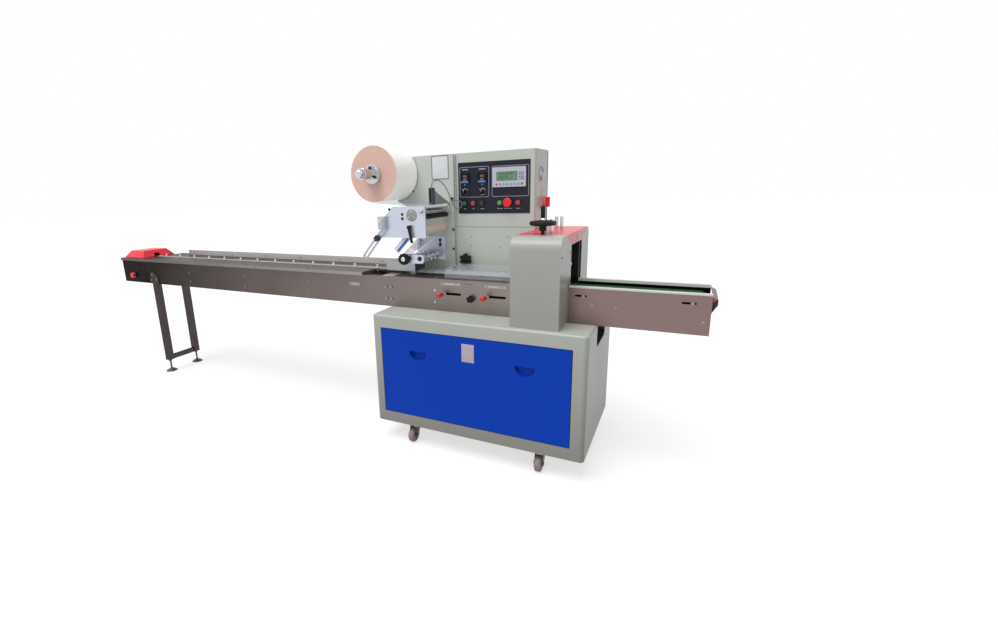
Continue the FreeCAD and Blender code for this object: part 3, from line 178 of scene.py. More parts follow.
class Shader:
    """One material with its node tree on Object coordinates."""

    def __init__(self, name: str) -> None:
        """Starts a material that holds only its output and principled shader."""
        self.material = bpy.data.materials.new(name)
        self.material.use_nodes = True
        self.tree = self.material.node_tree
        self.tree.nodes.clear()
        self.output = self.node("ShaderNodeOutputMaterial")
        self.surface = self.node("ShaderNodeBsdfPrincipled")
        self.tree.links.new(self.surface.outputs[0], self.output.inputs[0])
        self._places: dict[Point, bpy.types.NodeSocket] = {}

    def node(self, kind: str, settings: Optional[dict] = None, inputs: Optional[dict] = None) -> bpy.types.Node:
        """Any node, with its settings made before its sockets are filled.

        Args:
            kind: The node's type.
            settings: Attribute names and values; a ramp's stops are given as "stops".
            inputs: Socket names or numbers, with values, Value objects or sockets to link.

        Returns:
            The new node.
        """
        made = self.tree.nodes.new(kind)
        for name, value in (settings or {}).items():
            if name == "stops":
                ramp = made.color_ramp
                while len(ramp.elements) < len(value):
                    ramp.elements.new(0.5)
                for element, (place, shade) in zip(ramp.elements, value):
                    element.position, element.color = place, shade
            else:
                setattr(made, name, value)
        for name, value in (inputs or {}).items():
            if isinstance(value, Value):
                value = value.socket
            if isinstance(value, bpy.types.NodeSocket):
                self.tree.links.new(value, made.inputs[name])
            else:
                made.inputs[name].default_value = value
        return made

    def places(self, stretch: Point = (1.0, 1.0, 1.0)) -> bpy.types.NodeSocket:
        """Object coordinates, stretched along each axis.

        Args:
            stretch: Factors along X, Y and Z.

        Returns:
            The vector socket.
        """
        if stretch not in self._places:
            here = self.node("ShaderNodeTexCoord").outputs["Object"]
            mapping = self.node("ShaderNodeMapping", {"vector_type": "POINT"}, {"Vector": here, "Scale": stretch})
            self._places[stretch] = mapping.outputs[0]
        return self._places[stretch]

    def axes(self) -> tuple[Value, Value, Value]:
        """X, Y and Z of the point, in metres."""
        split = self.node("ShaderNodeSeparateXYZ", {}, {0: self.places()})
        return tuple(Value(self, split.outputs[index]) for index in range(3))

    def noise(self, scale: float, detail: float = 3.0, stretch: Point = (1.0, 1.0, 1.0)) -> Value:
        """Cloudy noise.

        Args:
            scale: Clouds to the metre.
            detail: How many finer layers it has.
            stretch: Factors along each axis, for brushed grain.

        Returns:
            The noise, about 0 to 1.
        """
        made = self.node("ShaderNodeTexNoise", {}, {"Vector": self.places(stretch), "Scale": scale,
                                                     "Detail": detail})
        return Value(self, made.outputs[0])

    def radius(self, centre: tuple[float, float], plane: str = "xz") -> Value:
        """Distance from an axis that runs along Y, X or Z.

        Args:
            centre: The axis's place in the plane across it.
            plane: The names of that plane's two directions.

        Returns:
            The distance in metres.
        """
        named = dict(zip("xyz", self.axes()))
        first = named[plane[0]] - centre[0]
        second = named[plane[1]] - centre[1]
        squared = first * first + second * second
        return squared.math("SQRT", squared)

    def mix(self, factor: Number, first, second) -> bpy.types.NodeSocket:
        """A colour between two colours.

        Args:
            factor: 0 for the first, 1 for the second.
            first: A colour or a colour socket.
            second: The same.

        Returns:
            The colour socket.
        """
        made = self.node("ShaderNodeMix", {"data_type": "RGBA"}, {0: factor, 6: first, 7: second})
        return made.outputs[2]

    def shade(self, tint, factor: Number) -> bpy.types.NodeSocket:
        """A colour made darker or lighter by a factor."""
        grey = self.node("ShaderNodeCombineColor", {}, {0: factor, 1: factor, 2: factor}).outputs[0]
        made = self.node("ShaderNodeMix", {"data_type": "RGBA", "blend_type": "MULTIPLY"}, {0: 1.0, 6: tint, 7: grey})
        return made.outputs[2]

    def finish(self, **sockets) -> bpy.types.Material:
        """Sets the principled shader's sockets.

        Args:
            **sockets: Socket names with underscores for spaces, and "bump" as (height, strength, distance).

        Returns:
            The material.
        """
        bump = sockets.pop("bump", None)
        for name, value in sockets.items():
            socket = self.surface.inputs[name.replace("_", " ").title().replace("Ior", "IOR")]
            if isinstance(value, Value):
                value = value.socket
            if isinstance(value, bpy.types.NodeSocket):
                self.tree.links.new(value, socket)
            else:
                socket.default_value = value
        if bump:
            height, strength, distance = bump
            made = self.node("ShaderNodeBump", {}, {"Height": height, "Strength": strength, "Distance": distance})
            self.tree.links.new(made.outputs[0], self.surface.inputs["Normal"])
        return self.material


# ---- finishes -------------------------------------------------------------------------------------------
@dataclass(frozen=True)
class Enamel:
    """Sprayed and baked paint, faint orange peel, soft mottle; painted shade low down, on +X faces and inside a box."""

    name: str
    tint: tuple
    gloss: float = 0.35
    mottle: float = 0.05
    # Painted shade towards the bottom: how strongly the paint darkens there
    low_shade: float = 0.0
    shine: float = 0.5
    # Painted shade towards the bottom: the darker, warmer tint it goes to
    low_shade_tint: tuple = colour(140, 134, 128)
    side_shade: float = 0.22
    # Painted shade: the corners of a box inside which the paint turns near black
    shade_box_low: Optional[Point] = None
    shade_box_high: Optional[Point] = None

    def material(self) -> bpy.types.Material:
        """The material."""
        shader = Shader(self.name)
        clouds = shader.noise(5.0)
        peel = shader.noise(420.0, 1.0)
        along, across, height = shader.axes()
        # Painted shade: lower down the colour is mixed towards the darker, warmer tint.
        ground = shader.mix((1.0 - height).clamped() * self.low_shade, self.tint, self.low_shade_tint)
        # Painted shade: inside the given box the colour goes near black.
        if self.shade_box_low and self.shade_box_high:
            inside = along.between(self.shade_box_low[0], self.shade_box_high[0])
            inside = inside * across.between(self.shade_box_low[1], self.shade_box_high[1])
            inside = inside * height.between(self.shade_box_low[2], self.shade_box_high[2])
            ground = shader.mix(inside, ground, colour(34, 30, 31))
        # Painted shade: faces turned towards +X are darkened by the side share.
        facing = shader.node("ShaderNodeSeparateXYZ", {}, {0: shader.node("ShaderNodeNewGeometry").outputs["Normal"]})
        ground = shader.shade(ground, 1.0 - Value(shader, facing.outputs["X"]).clamped() * self.side_shade)
        tint = shader.shade(ground, 1.0 - self.mottle + clouds * (2 * self.mottle))
        return shader.finish(base_color=tint, roughness=self.gloss + (clouds - 0.5) * 0.15,
                             coat_weight=0.06 * (self.low_shade > 0), coat_roughness=0.2,
                             specular_ior_level=self.shine, bump=(peel, 0.06, 0.0004))


@dataclass(frozen=True)
class BrushedSheet:
    """Rolled stainless sheet, brushed along one direction, with painted shade darkening it towards the infeed end."""

    name: str
    tint: tuple
    grain: Point = (0.02, 1.0, 1.0)
    rough: float = 0.36
    metal: float = 0.85
    infeed_shade: float = 0.0

    def material(self) -> bpy.types.Material:
        """The material."""
        shader = Shader(self.name)
        lines = shader.noise(900.0, 2.0, self.grain)
        clouds = shader.noise(3.0)
        along, _, _ = shader.axes()
        # Painted shade: darker towards the infeed end (towards -X), standing in for a darker reflection there.
        infeed_darkening = (0.45 - along * 0.36).clamped() * self.infeed_shade
        tint = shader.shade(self.tint, 0.78 + lines * 0.25 + clouds * 0.2 - infeed_darkening)
        return shader.finish(base_color=tint, metallic=self.metal, roughness=self.rough + (lines - 0.5) * 0.22,
                             specular_tint=(0.32, 0.3, 0.3, 1.0), bump=(lines, 0.05, 0.0002))


@dataclass(frozen=True)
class TurnedMetal:
    """Turned, ground or plated metal with faint clouds in its gloss."""

    name: str
    tint: tuple
    rough: float = 0.18
    metal: float = 1.0

    def material(self) -> bpy.types.Material:
        """The material."""
        shader = Shader(self.name)
        clouds = shader.noise(60.0)
        fine = shader.noise(1500.0, 1.0)
        return shader.finish(base_color=shader.shade(self.tint, 0.9 + clouds * 0.2), metallic=self.metal,
                             roughness=self.rough + (clouds - 0.5) * 0.12, bump=(fine, 0.03, 0.0001))


@dataclass(frozen=True)
class Moulding:
    """Moulded plastic or rubber with a fine spark-eroded grain."""

    name: str
    tint: tuple
    rough: float = 0.45
    grain: float = 0.08

    def material(self) -> bpy.types.Material:
        """The material."""
        shader = Shader(self.name)
        grain = shader.noise(1400.0, 1.0)
        clouds = shader.noise(25.0)
        shine = 0.5 if max(self.tint[:3]) > 0.05 else 0.22
        return shader.finish(base_color=shader.shade(self.tint, 0.92 + clouds * 0.16), specular_ior_level=shine,
                             roughness=self.rough + (clouds - 0.5) * 0.1, bump=(grain, self.grain, 0.0002))


@dataclass(frozen=True)
class ClearSheet:
    """Clear acrylic or film that shows what is behind it."""

    name: str
    tint: tuple
    alpha: float = 0.28
    rough: float = 0.12

    def material(self) -> bpy.types.Material:
        """The material."""
        shader = Shader(self.name)
        ripple = shader.noise(14.0, 2.0)
        return shader.finish(base_color=self.tint, roughness=self.rough, alpha=self.alpha + (ripple - 0.5) * 0.1,
                             bump=(ripple, 0.1, 0.002))


@dataclass(frozen=True)
class WoundFilm:
    """Film wound on a roll: glossy white round the outside with a painted glow, warm and ringed on the ends."""

    name: str
    centre: tuple[float, float]
    ends: tuple[float, float]

    def material(self) -> bpy.types.Material:
        """The material."""
        shader = Shader(self.name)
        _, y, _ = shader.axes()
        low, high = self.ends
        is_end = ((y - low).magnitude() < 0.0006) + ((y - high).magnitude() < 0.0006)
        radius = shader.radius(self.centre)
        rings = (radius * 260.0).fraction()
        clouds = shader.noise(9.0)
        bands = shader.noise(30.0, 2.0, (0.2, 1.0, 0.2))
        end_tint = shader.shade(colour(240, 196, 182), 0.84 + rings * 0.06 + clouds * 0.1 + radius * 1.1)
        side_tint = shader.shade(colour(252, 252, 246), 0.95 + bands * 0.08)
        return shader.finish(base_color=shader.mix(is_end.clamped(), side_tint, end_tint),
                             roughness=0.22 + is_end * 0.25, coat_weight=0.3, coat_roughness=0.1,
                             # Painted highlight: the roll's outside glows faint white, though it is no lamp; the ends
                             # do not glow.
                             emission_color=shader.mix(is_end.clamped(), colour(250, 250, 246), colour(0, 0, 0)),
                             emission_strength=0.16,
                             bump=(rings * is_end, 0.15, 0.0003))


@dataclass(frozen=True)
class ButtonCaps:
    """Push-button mouldings whose caps have their own colours over black collars."""

    name: str
    places: tuple[float, ...]
    tints: tuple
    face: float

    def material(self) -> bpy.types.Material:
        """The material."""
        shader = Shader(self.name)
        x, y, _ = shader.axes()
        tint = self.tints[0]
        for edge, following in zip(((a + b) / 2 for a, b in zip(self.places, self.places[1:])), self.tints[1:]):
            tint = shader.mix(x > edge, tint, following)
        collar = y > self.face
        grain = shader.noise(1200.0, 1.0)
        return shader.finish(base_color=shader.mix(collar, tint, colour(28, 28, 30)), roughness=0.3,
                             coat_weight=0.2, bump=(grain, 0.05, 0.0002))


@dataclass(frozen=True)
class SlideLever:
    """A red grip on a bright stem."""

    name: str
    grip_back: float

    def material(self) -> bpy.types.Material:
        """The material."""
        shader = Shader(self.name)
        _, y, _ = shader.axes()
        metal = y > self.grip_back
        grain = shader.noise(900.0, 1.0)
        return shader.finish(base_color=shader.mix(metal, colour(226, 42, 54), colour(190, 192, 196)),
                             metallic=metal, roughness=0.32 - metal * 0.12, bump=(grain, 0.05, 0.0002))


@dataclass(frozen=True)
class ArmAndKnob:
    """Bright machined plate with a black knob standing in front of it."""

    name: str
    plate_front: float

    def material(self) -> bpy.types.Material:
        """The material."""
        shader = Shader(self.name)
        _, y, _ = shader.axes()
        knob = y < self.plate_front
        lines = shader.noise(700.0, 2.0, (1.0, 1.0, 0.05))
        plate = shader.shade(colour(186, 192, 206), 0.86 + lines * 0.28)
        return shader.finish(base_color=shader.mix(knob, plate, colour(36, 36, 44)), metallic=0.6 - knob * 0.6,
                             roughness=0.34 + knob * 0.1, bump=(lines, 0.04, 0.0002))


@dataclass(frozen=True)
class BodyAndBracket:
    """A dark moulded sensor in front of its painted bracket."""

    name: str
    body_back: float

    def material(self) -> bpy.types.Material:
        """The material."""
        shader = Shader(self.name)
        _, y, _ = shader.axes()
        bracket = y > self.body_back
        grain = shader.noise(900.0, 1.0)
        tint = shader.mix(bracket, colour(92, 96, 110), colour(168, 172, 168))
        return shader.finish(base_color=shader.shade(tint, 0.94 + grain * 0.12), roughness=0.4,
                             bump=(grain, 0.05, 0.0002))


@dataclass(frozen=True)
class OutfeedSheet:
    """Stainless outfeed plates with a painted highlight on the folded tops and painted shade on the inner faces."""

    name: str
    low: Point
    high: Point

    def material(self) -> bpy.types.Material:
        """The material."""
        shader = Shader(self.name)
        _, across, height = shader.axes()
        lines = shader.noise(900.0, 2.0, (0.02, 1.0, 1.0))
        clouds = shader.noise(3.0)
        # Painted shade: the inner faces between the plates are near black and less metallic.
        inside = across.between(self.low[1] + 0.0015, self.high[1] - 0.0015)
        far = across > (self.low[1] + self.high[1]) / 2
        # Painted highlight: a pale, less metallic band along the tops, taller on the far plate.
        top = height > self.high[2] - 0.006 - far * 0.006
        steel = shader.shade(colour(136, 116, 113), 0.8 + lines * 0.25 + clouds * 0.14)
        shaded_inner = shader.mix(inside, steel, colour(24, 22, 23))
        return shader.finish(base_color=shader.mix(top, shaded_inner, colour(216, 219, 213)),
                             metallic=(0.85 - inside * 0.7 - top * 0.75).clamped(), roughness=0.36,
                             specular_tint=(0.32, 0.3, 0.3, 1.0), bump=(lines, 0.05, 0.0002))


@dataclass(frozen=True)
class JawFrame:
    """Jaw plates painted near black as the shade in the sealer's tunnel, under bright ground posts."""

    name: str
    plates_top: float

    def material(self) -> bpy.types.Material:
        """The material."""
        shader = Shader(self.name)
        _, _, height = shader.axes()
        post = height > self.plates_top
        clouds = shader.noise(50.0)
        # Painted shade: below the posts the plates are near black.
        return shader.finish(base_color=shader.mix(post, colour(26, 25, 27), colour(206, 205, 206)), metallic=post,
                             roughness=0.42 - post * 0.24 + (clouds - 0.5) * 0.1)


@dataclass(frozen=True)
class IsolatorHandle:
    """A red grip bar on a pale disc."""

    name: str
    bar_foot: float

    def material(self) -> bpy.types.Material:
        """The material."""
        shader = Shader(self.name)
        along, _, _ = shader.axes()
        grain = shader.noise(900.0, 1.0)
        tint = shader.mix(along > self.bar_foot, colour(232, 150, 152), colour(238, 34, 48))
        return shader.finish(base_color=tint, roughness=0.34, bump=(grain, 0.05, 0.0002))


@dataclass(frozen=True)
class BackLit:
    """A lit digit, lamp or screen."""

    name: str
    tint: tuple
    strength: float = 1.0

    def material(self) -> bpy.types.Material:
        """The material."""
        shader = Shader(self.name)
        clouds = shader.noise(120.0)
        tint = shader.shade(self.tint, 0.9 + clouds * 0.2)
        return shader.finish(base_color=tint, roughness=0.3, emission_color=tint, emission_strength=self.strength)


class Finishes:
    """Every material, made once and handed out by name."""

    RECIPES = (
        # Painted shade in the enamels: all darker on +X faces; the housing's paint also darker and warmer towards the
        # bottom.
        Enamel("painted_housing", colour(208, 216, 206), 0.4, 0.04, 0.95),
        Enamel("blue_enamel", colour(2, 66, 190), 0.45, 0.04, 0.0, 0.16),
        Enamel("red_enamel", colour(252, 46, 62), 0.35, 0.03, 0.0, 0.4),
        # The stainless and the table's sheet carry painted shade towards the infeed end.
        BrushedSheet("stainless", colour(148, 138, 134), infeed_shade=0.9),
        BrushedSheet("table_sheet", colour(172, 166, 162), (0.02, 1.0, 1.0), 0.3, 0.85, 0.62),
        BrushedSheet("fence_sheet", colour(206, 202, 198), (0.02, 1.0, 1.0), 0.4, 0.5),
        Enamel("guard_red", colour(226, 44, 58), 0.3, 0.02),
        Moulding("nose_brown", colour(104, 80, 78), 0.4),
        TurnedMetal("satin_screw", colour(150, 147, 145), 0.42, 0.9),
        BrushedSheet("machined_aluminium_box", colour(170, 173, 178), (0.02, 1.0, 1.0), 0.3, 0.6),
        BrushedSheet("leg_steel", colour(80, 74, 72), (1.0, 1.0, 0.02)),
        BrushedSheet("machined_aluminium", colour(210, 216, 230), (1.0, 1.0, 0.05), 0.34, 0.6),
        TurnedMetal("bright_steel", colour(205, 205, 208)),
        TurnedMetal("chain_steel", colour(92, 90, 90), 0.36, 0.9),
        TurnedMetal("dark_screw", colour(52, 50, 52), 0.35, 0.8),
        TurnedMetal("fork_steel", colour(84, 80, 84), 0.36, 0.8),
        Moulding("seam", colour(96, 98, 94), 0.6, 0.02),
        # Painted highlight: the pale strip at the joint of reel plate and cabinet stands for the lit edge there.
        Moulding("edge_highlight", colour(236, 240, 236), 0.4, 0.02),
        Moulding("seam_dark", colour(60, 58, 58), 0.6, 0.02),
        Moulding("pale_strip", colour(206, 198, 196), 0.5, 0.02),
        Moulding("keypad_blue", colour(96, 112, 150), 0.4, 0.04),
        Moulding("gauge_grey", colour(164, 164, 166), 0.45, 0.02),
        TurnedMetal("dark_foot", colour(88, 86, 84), 0.4, 0.6),
        ClearSheet("clear_block", colour(206, 212, 222), 0.6, 0.1),
        BackLit("pale_digit", colour(170, 176, 182), 0.2),
        Moulding("cable_grey", colour(118, 124, 136), 0.45),
        Moulding("blue_trim", colour(20, 104, 214), 0.35),
        Moulding("white_plastic", colour(242, 243, 244), 0.4),
        Moulding("pale_key", colour(160, 166, 184), 0.4),
        Moulding("black_plastic", colour(18, 18, 20), 0.45),
        Moulding("dark_void", colour(14, 14, 15), 0.8),
        Moulding("panel_navy", colour(36, 36, 52), 0.35, 0.03),
        Moulding("display_grey", colour(204, 210, 222), 0.4, 0.04),
        Moulding("red_plastic", colour(242, 34, 48), 0.32),
        Moulding("isolator_plate", colour(214, 180, 176), 0.45),
        Moulding("label_plate", colour(196, 186, 194), 0.5, 0.02),
        Moulding("white_label", colour(236, 238, 240), 0.5, 0.02),
        Moulding("label_frame", colour(120, 122, 128), 0.5, 0.02),
        Moulding("roller_rubber", colour(240, 226, 214), 0.5),
        Moulding("belt", colour(10, 66, 26), 0.5, 0.15),
        Moulding("castor_rubber", colour(150, 132, 132), 0.5),
        ClearSheet("film", colour(236, 240, 246), 0.42, 0.1),
        ClearSheet("clear_acrylic", colour(226, 236, 242), 0.16),
        BackLit("amber_digit", colour(214, 120, 80), 0.35),
        BackLit("blue_strip", colour(60, 110, 200), 0.3),
        BackLit("screen_green", colour(104, 142, 104), 0.18),
        Moulding("screen_mark", colour(38, 56, 40), 0.5, 0.02),
        Moulding("green_cap", colour(20, 150, 70), 0.3),
        Moulding("silver_line", colour(176, 180, 190), 0.35, 0.02),
    )

    def __init__(self) -> None:
        """Makes the materials that need no place on the machine."""
        self.made = {recipe.name: recipe.material() for recipe in self.RECIPES}

    def add(self, recipe) -> bpy.types.Material:
        """Makes and keeps one more material."""
        self.made[recipe.name] = recipe.material()
        return self.made[recipe.name]

    def __getitem__(self, name: str) -> bpy.types.Material:
        """The material of that name."""
        return self.made[name]


# ---- meshes ---------------------------------------------------------------------------------------------
class Form:
    """A mesh put together from closed shapes, then made into one piece of the machine."""

    def __init__(self) -> None:
        """Starts empty."""
        self.mesh = bmesh.new()

    def _placed(self, verts: Iterable[bmesh.types.BMVert], turn: Matrix, centre: Sequence[float]) -> None:
        """Turns and moves new vertices to their place."""
        for vert in verts:
            vert.co = turn @ vert.co + Vector(centre)

    def block(self, low: Sequence[float], high: Sequence[float], bevel: float = 0.0) -> "Form":
        """A box between two corners, with its edges broken.

        Args:
            low: Its lowest corner.
            high: Its highest corner.
            bevel: How far its edges are broken.

        Returns:
            The form itself.
        """
        size = [b - a for a, b in zip(low, high)]
        centre = [(a + b) / 2 for a, b in zip(low, high)]
        made = bmesh.ops.create_cube(self.mesh, size=1.0)
        for vert in made["verts"]:
            vert.co = Vector([c * s for c, s in zip(vert.co, size)])
        self._placed(made["verts"], Matrix.Identity(3), centre)
        if bevel:
            edges = {edge for vert in made["verts"] for edge in vert.link_edges}
            bmesh.ops.bevel(self.mesh, geom=list(edges), offset=min(bevel, min(size) * 0.45), segments=2,
                            affect="EDGES", profile=0.7)
        return self

    def turned(self, centre: Sequence[float], axis: Axis, profile: Sequence[tuple[float, float]],
               sides: int = 32) -> "Form":
        """A turned shape round an axis.

        Args:
            centre: Where height 0 of the profile lies on the axis.
            axis: The way the axis points; along Y it points towards the operator.
            profile: Radius and height pairs from one end to the other; ends are closed.
            sides: How many sides the rings have.

        Returns:
            The form itself.
        """
        rings = []
        for radius, height in profile:
            ring = []
            for index in range(sides):
                angle = 2 * math.pi * index / sides
                local = Vector((radius * math.cos(angle), radius * math.sin(angle), height))
                ring.append(self.mesh.verts.new(axis.value @ local + Vector(centre)))
            rings.append(ring)
        for lower, upper in zip(rings, rings[1:]):
            for index in range(sides):
                following = (index + 1) % sides
                self.mesh.faces.new((lower[index], lower[following], upper[following], upper[index]))
        self.mesh.faces.new(reversed(rings[0]))
        self.mesh.faces.new(rings[-1])
        return self

    def sheet(self, outline: Sequence[Sequence[float]], run: Sequence[float]) -> "Form":
        """A flat outline given thickness.

        Args:
            outline: Its corners, in order.
            run: The vector it is extruded along.

        Returns:
            The form itself.
        """
        lower = [self.mesh.verts.new(Vector(corner)) for corner in outline]
        upper = [self.mesh.verts.new(Vector(corner) + Vector(run)) for corner in outline]
        count = len(outline)
        self.mesh.faces.new(lower)
        self.mesh.faces.new(reversed(upper))
        for index in range(count):
            following = (index + 1) % count
            self.mesh.faces.new((lower[following], lower[index], upper[index], upper[following]))
        return self

    def band(self, centre: Sequence[float], axis: Axis, inner: float, outer: float, height: float,
             sides: int = 40) -> "Form":
        """A flat ring round an axis.

        Args:
            centre: The middle of its foot.
            axis: The way it faces.
            inner: Inner radius.
            outer: Outer radius.
            height: How far it stands up.
            sides: How many sides it has.

        Returns:
            The form itself.
        """
        rows = []
        for radius, lift in ((inner, 0.0), (outer, 0.0), (outer, height), (inner, height)):
            row = []
            for index in range(sides):
                angle = 2 * math.pi * index / sides
                local = Vector((radius * math.cos(angle), radius * math.sin(angle), lift))
                row.append(self.mesh.verts.new(axis.value @ local + Vector(centre)))
            rows.append(row)
        for first, second in zip(rows, rows[1:] + rows[:1]):
            for index in range(sides):
                following = (index + 1) % sides
                self.mesh.faces.new((first[index], first[following], second[following], second[index]))
        return self

    def ring(self, centre: Sequence[float], axis: Axis, radius: float, wire: float, sides: int = 40) -> "Form":
        """A round wire bent to a ring.

        Args:
            centre: Its middle.
            axis: The way it faces.
            radius: Radius to the wire's middle.
            wire: The wire's radius.
            sides: Steps round the ring.

        Returns:
            The form itself.
        """
        rows = []
        for index in range(sides):
            angle = 2 * math.pi * index / sides
            row = []
            for turn in range(8):
                bend = 2 * math.pi * turn / 8
                reach = radius + wire * math.cos(bend)
                local = Vector((reach * math.cos(angle), reach * math.sin(angle), wire * math.sin(bend)))
                row.append(self.mesh.verts.new(axis.value @ local + Vector(centre)))
            rows.append(row)
        for first, second in zip(rows, rows[1:] + rows[:1]):
            for index in range(8):
                following = (index + 1) % 8
                self.mesh.faces.new((first[index], first[following], second[following], second[index]))
        return self

    def skin(self, rows: Sequence[Sequence[Sequence[float]]]) -> "Form":
        """A closed skin over rings of points, shut at both ends.

        Args:
            rows: The rings, each with the same number of points.

        Returns:
            The form itself.
        """
        made = [[self.mesh.verts.new(point) for point in row] for row in rows]
        count = len(made[0])
        for first, second in zip(made, made[1:]):
            for index in range(count):
                following = (index + 1) % count
                self.mesh.faces.new((first[index], first[following], second[following], second[index]))
        self.mesh.faces.new(reversed(made[0]))
        self.mesh.faces.new(made[-1])
        return self

    def rail(self, start: Sequence[float], end: Sequence[float], radius: float, sides: int = 10) -> "Form":
        """A straight round bar between two points.

        Args:
            start: One end.
            end: The other end.
            radius: Its radius.
            sides: How many sides it has.

        Returns:
            The form itself.
        """
        run = Vector(end) - Vector(start)
        turn = run.to_track_quat("Z", "Y").to_matrix()
        rows = []
        for height in (0.0, run.length):
            row = []
            for index in range(sides):
                angle = 2 * math.pi * index / sides
                row.append(self.mesh.verts.new(
                    turn @ Vector((radius * math.cos(angle), radius * math.sin(angle), height)) + Vector(start)))
            rows.append(row)
        for index in range(sides):
            following = (index + 1) % sides
            self.mesh.faces.new((rows[0][index], rows[0][following], rows[1][following], rows[1][index]))
        self.mesh.faces.new(reversed(rows[0]))
        self.mesh.faces.new(rows[1])
        return self

    def frame_line(self, low: tuple[float, float], high: tuple[float, float], y: float, width: float,
                   corner: float, thick: float = 0.0003) -> "Form":
        """A thin rounded outline on a plane that faces the operator.

        Args:
            low: Lower left of its outside, in X and Z.
            high: Upper right of its outside.
            y: The plane it lies on.
            width: The line's width.
            corner: Its outer corner radius.
            thick: How far it stands off the plane.

        Returns:
            The form itself.
        """
        outer = rounded(low, high, corner)
        inner = rounded((low[0] + width, low[1] + width), (high[0] - width, high[1] - width),
                        max(corner - width, 0.0001))
        count = len(outer)
        rows = []
        for ring in (outer, inner):
            for depth in (y, y - thick):
                rows.append([self.mesh.verts.new((x, depth, z)) for x, z in ring])
        back_out, front_out, back_in, front_in = rows
        for index in range(count):
            following = (index + 1) % count
            for first, second in ((front_out, front_in), (front_in, back_in), (back_in, back_out),
                                  (back_out, front_out)):
                self.mesh.faces.new((first[index], first[following], second[following], second[index]))
        return self

    def piece(self, name: str, material: bpy.types.Material, slot: str, body: str = "machine",
              smooth: float = 0.6) -> bpy.types.Object:
        """Closes the form into one named object that rides on a body.

        Args:
            name: The piece's name.
            material: Its finish.
            slot: Not used.
            body: The body it moves with.
            smooth: The angle under which an edge is shaded smooth, in radians.

        Returns:
            The object.
        """
        bmesh.ops.recalc_face_normals(self.mesh, faces=self.mesh.faces)
        data = bpy.data.meshes.new(name)
        self.mesh.to_mesh(data)
        self.mesh.free()
        return finished(name, data, material, body, smooth)


def rounded(low: tuple[float, float], high: tuple[float, float], radius: float,
            steps: int = 5) -> list[tuple[float, float]]:
    """The outline of a rounded rectangle.

    Args:
        low: Lower left corner.
        high: Upper right corner.
        radius: Corner radius.
        steps: Points round each corner.

    Returns:
        The points, in order.
    """
    points = []
    corners = ((high[0] - radius, high[1] - radius, 0), (low[0] + radius, high[1] - radius, 1),
               (low[0] + radius, low[1] + radius, 2), (high[0] - radius, low[1] + radius, 3))
    for x, z, quarter in corners:
        for step in range(steps):
            angle = (quarter + step / (steps - 1)) * math.pi / 2
            points.append((x + radius * math.cos(angle), z + radius * math.sin(angle)))
    return points


def finished(name: str, data: bpy.types.Mesh, material: bpy.types.Material, body: str,
             smooth: float = 0.6) -> bpy.types.Object:
    """Makes a mesh into a piece of the machine.

    Args:
        name: The piece's name.
        data: Its mesh, already in place.
        material: Its finish.
        body: The body it moves with.
        smooth: The angle under which an edge is shaded smooth, in radians.

    Returns:
        The object.
    """
    data.materials.clear()
    data.materials.append(material)
    if smooth:
        data.polygons.foreach_set("use_smooth", [True] * len(data.polygons))
        data.set_sharp_from_angle(angle=smooth)
    obj = bpy.data.objects.new(name, data)
    bpy.context.scene.collection.objects.link(obj)
    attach(obj, body)
    LOG.info("%s: %d faces, on %s", name, len(data.polygons), body)
    return obj


class Head(Enum):
    """The kinds of small fastener: sides of the head and of its drive recess."""

    SOCKET = (24, 6)
    HEXAGON = (6, 24)
    PAN = (24, 4)


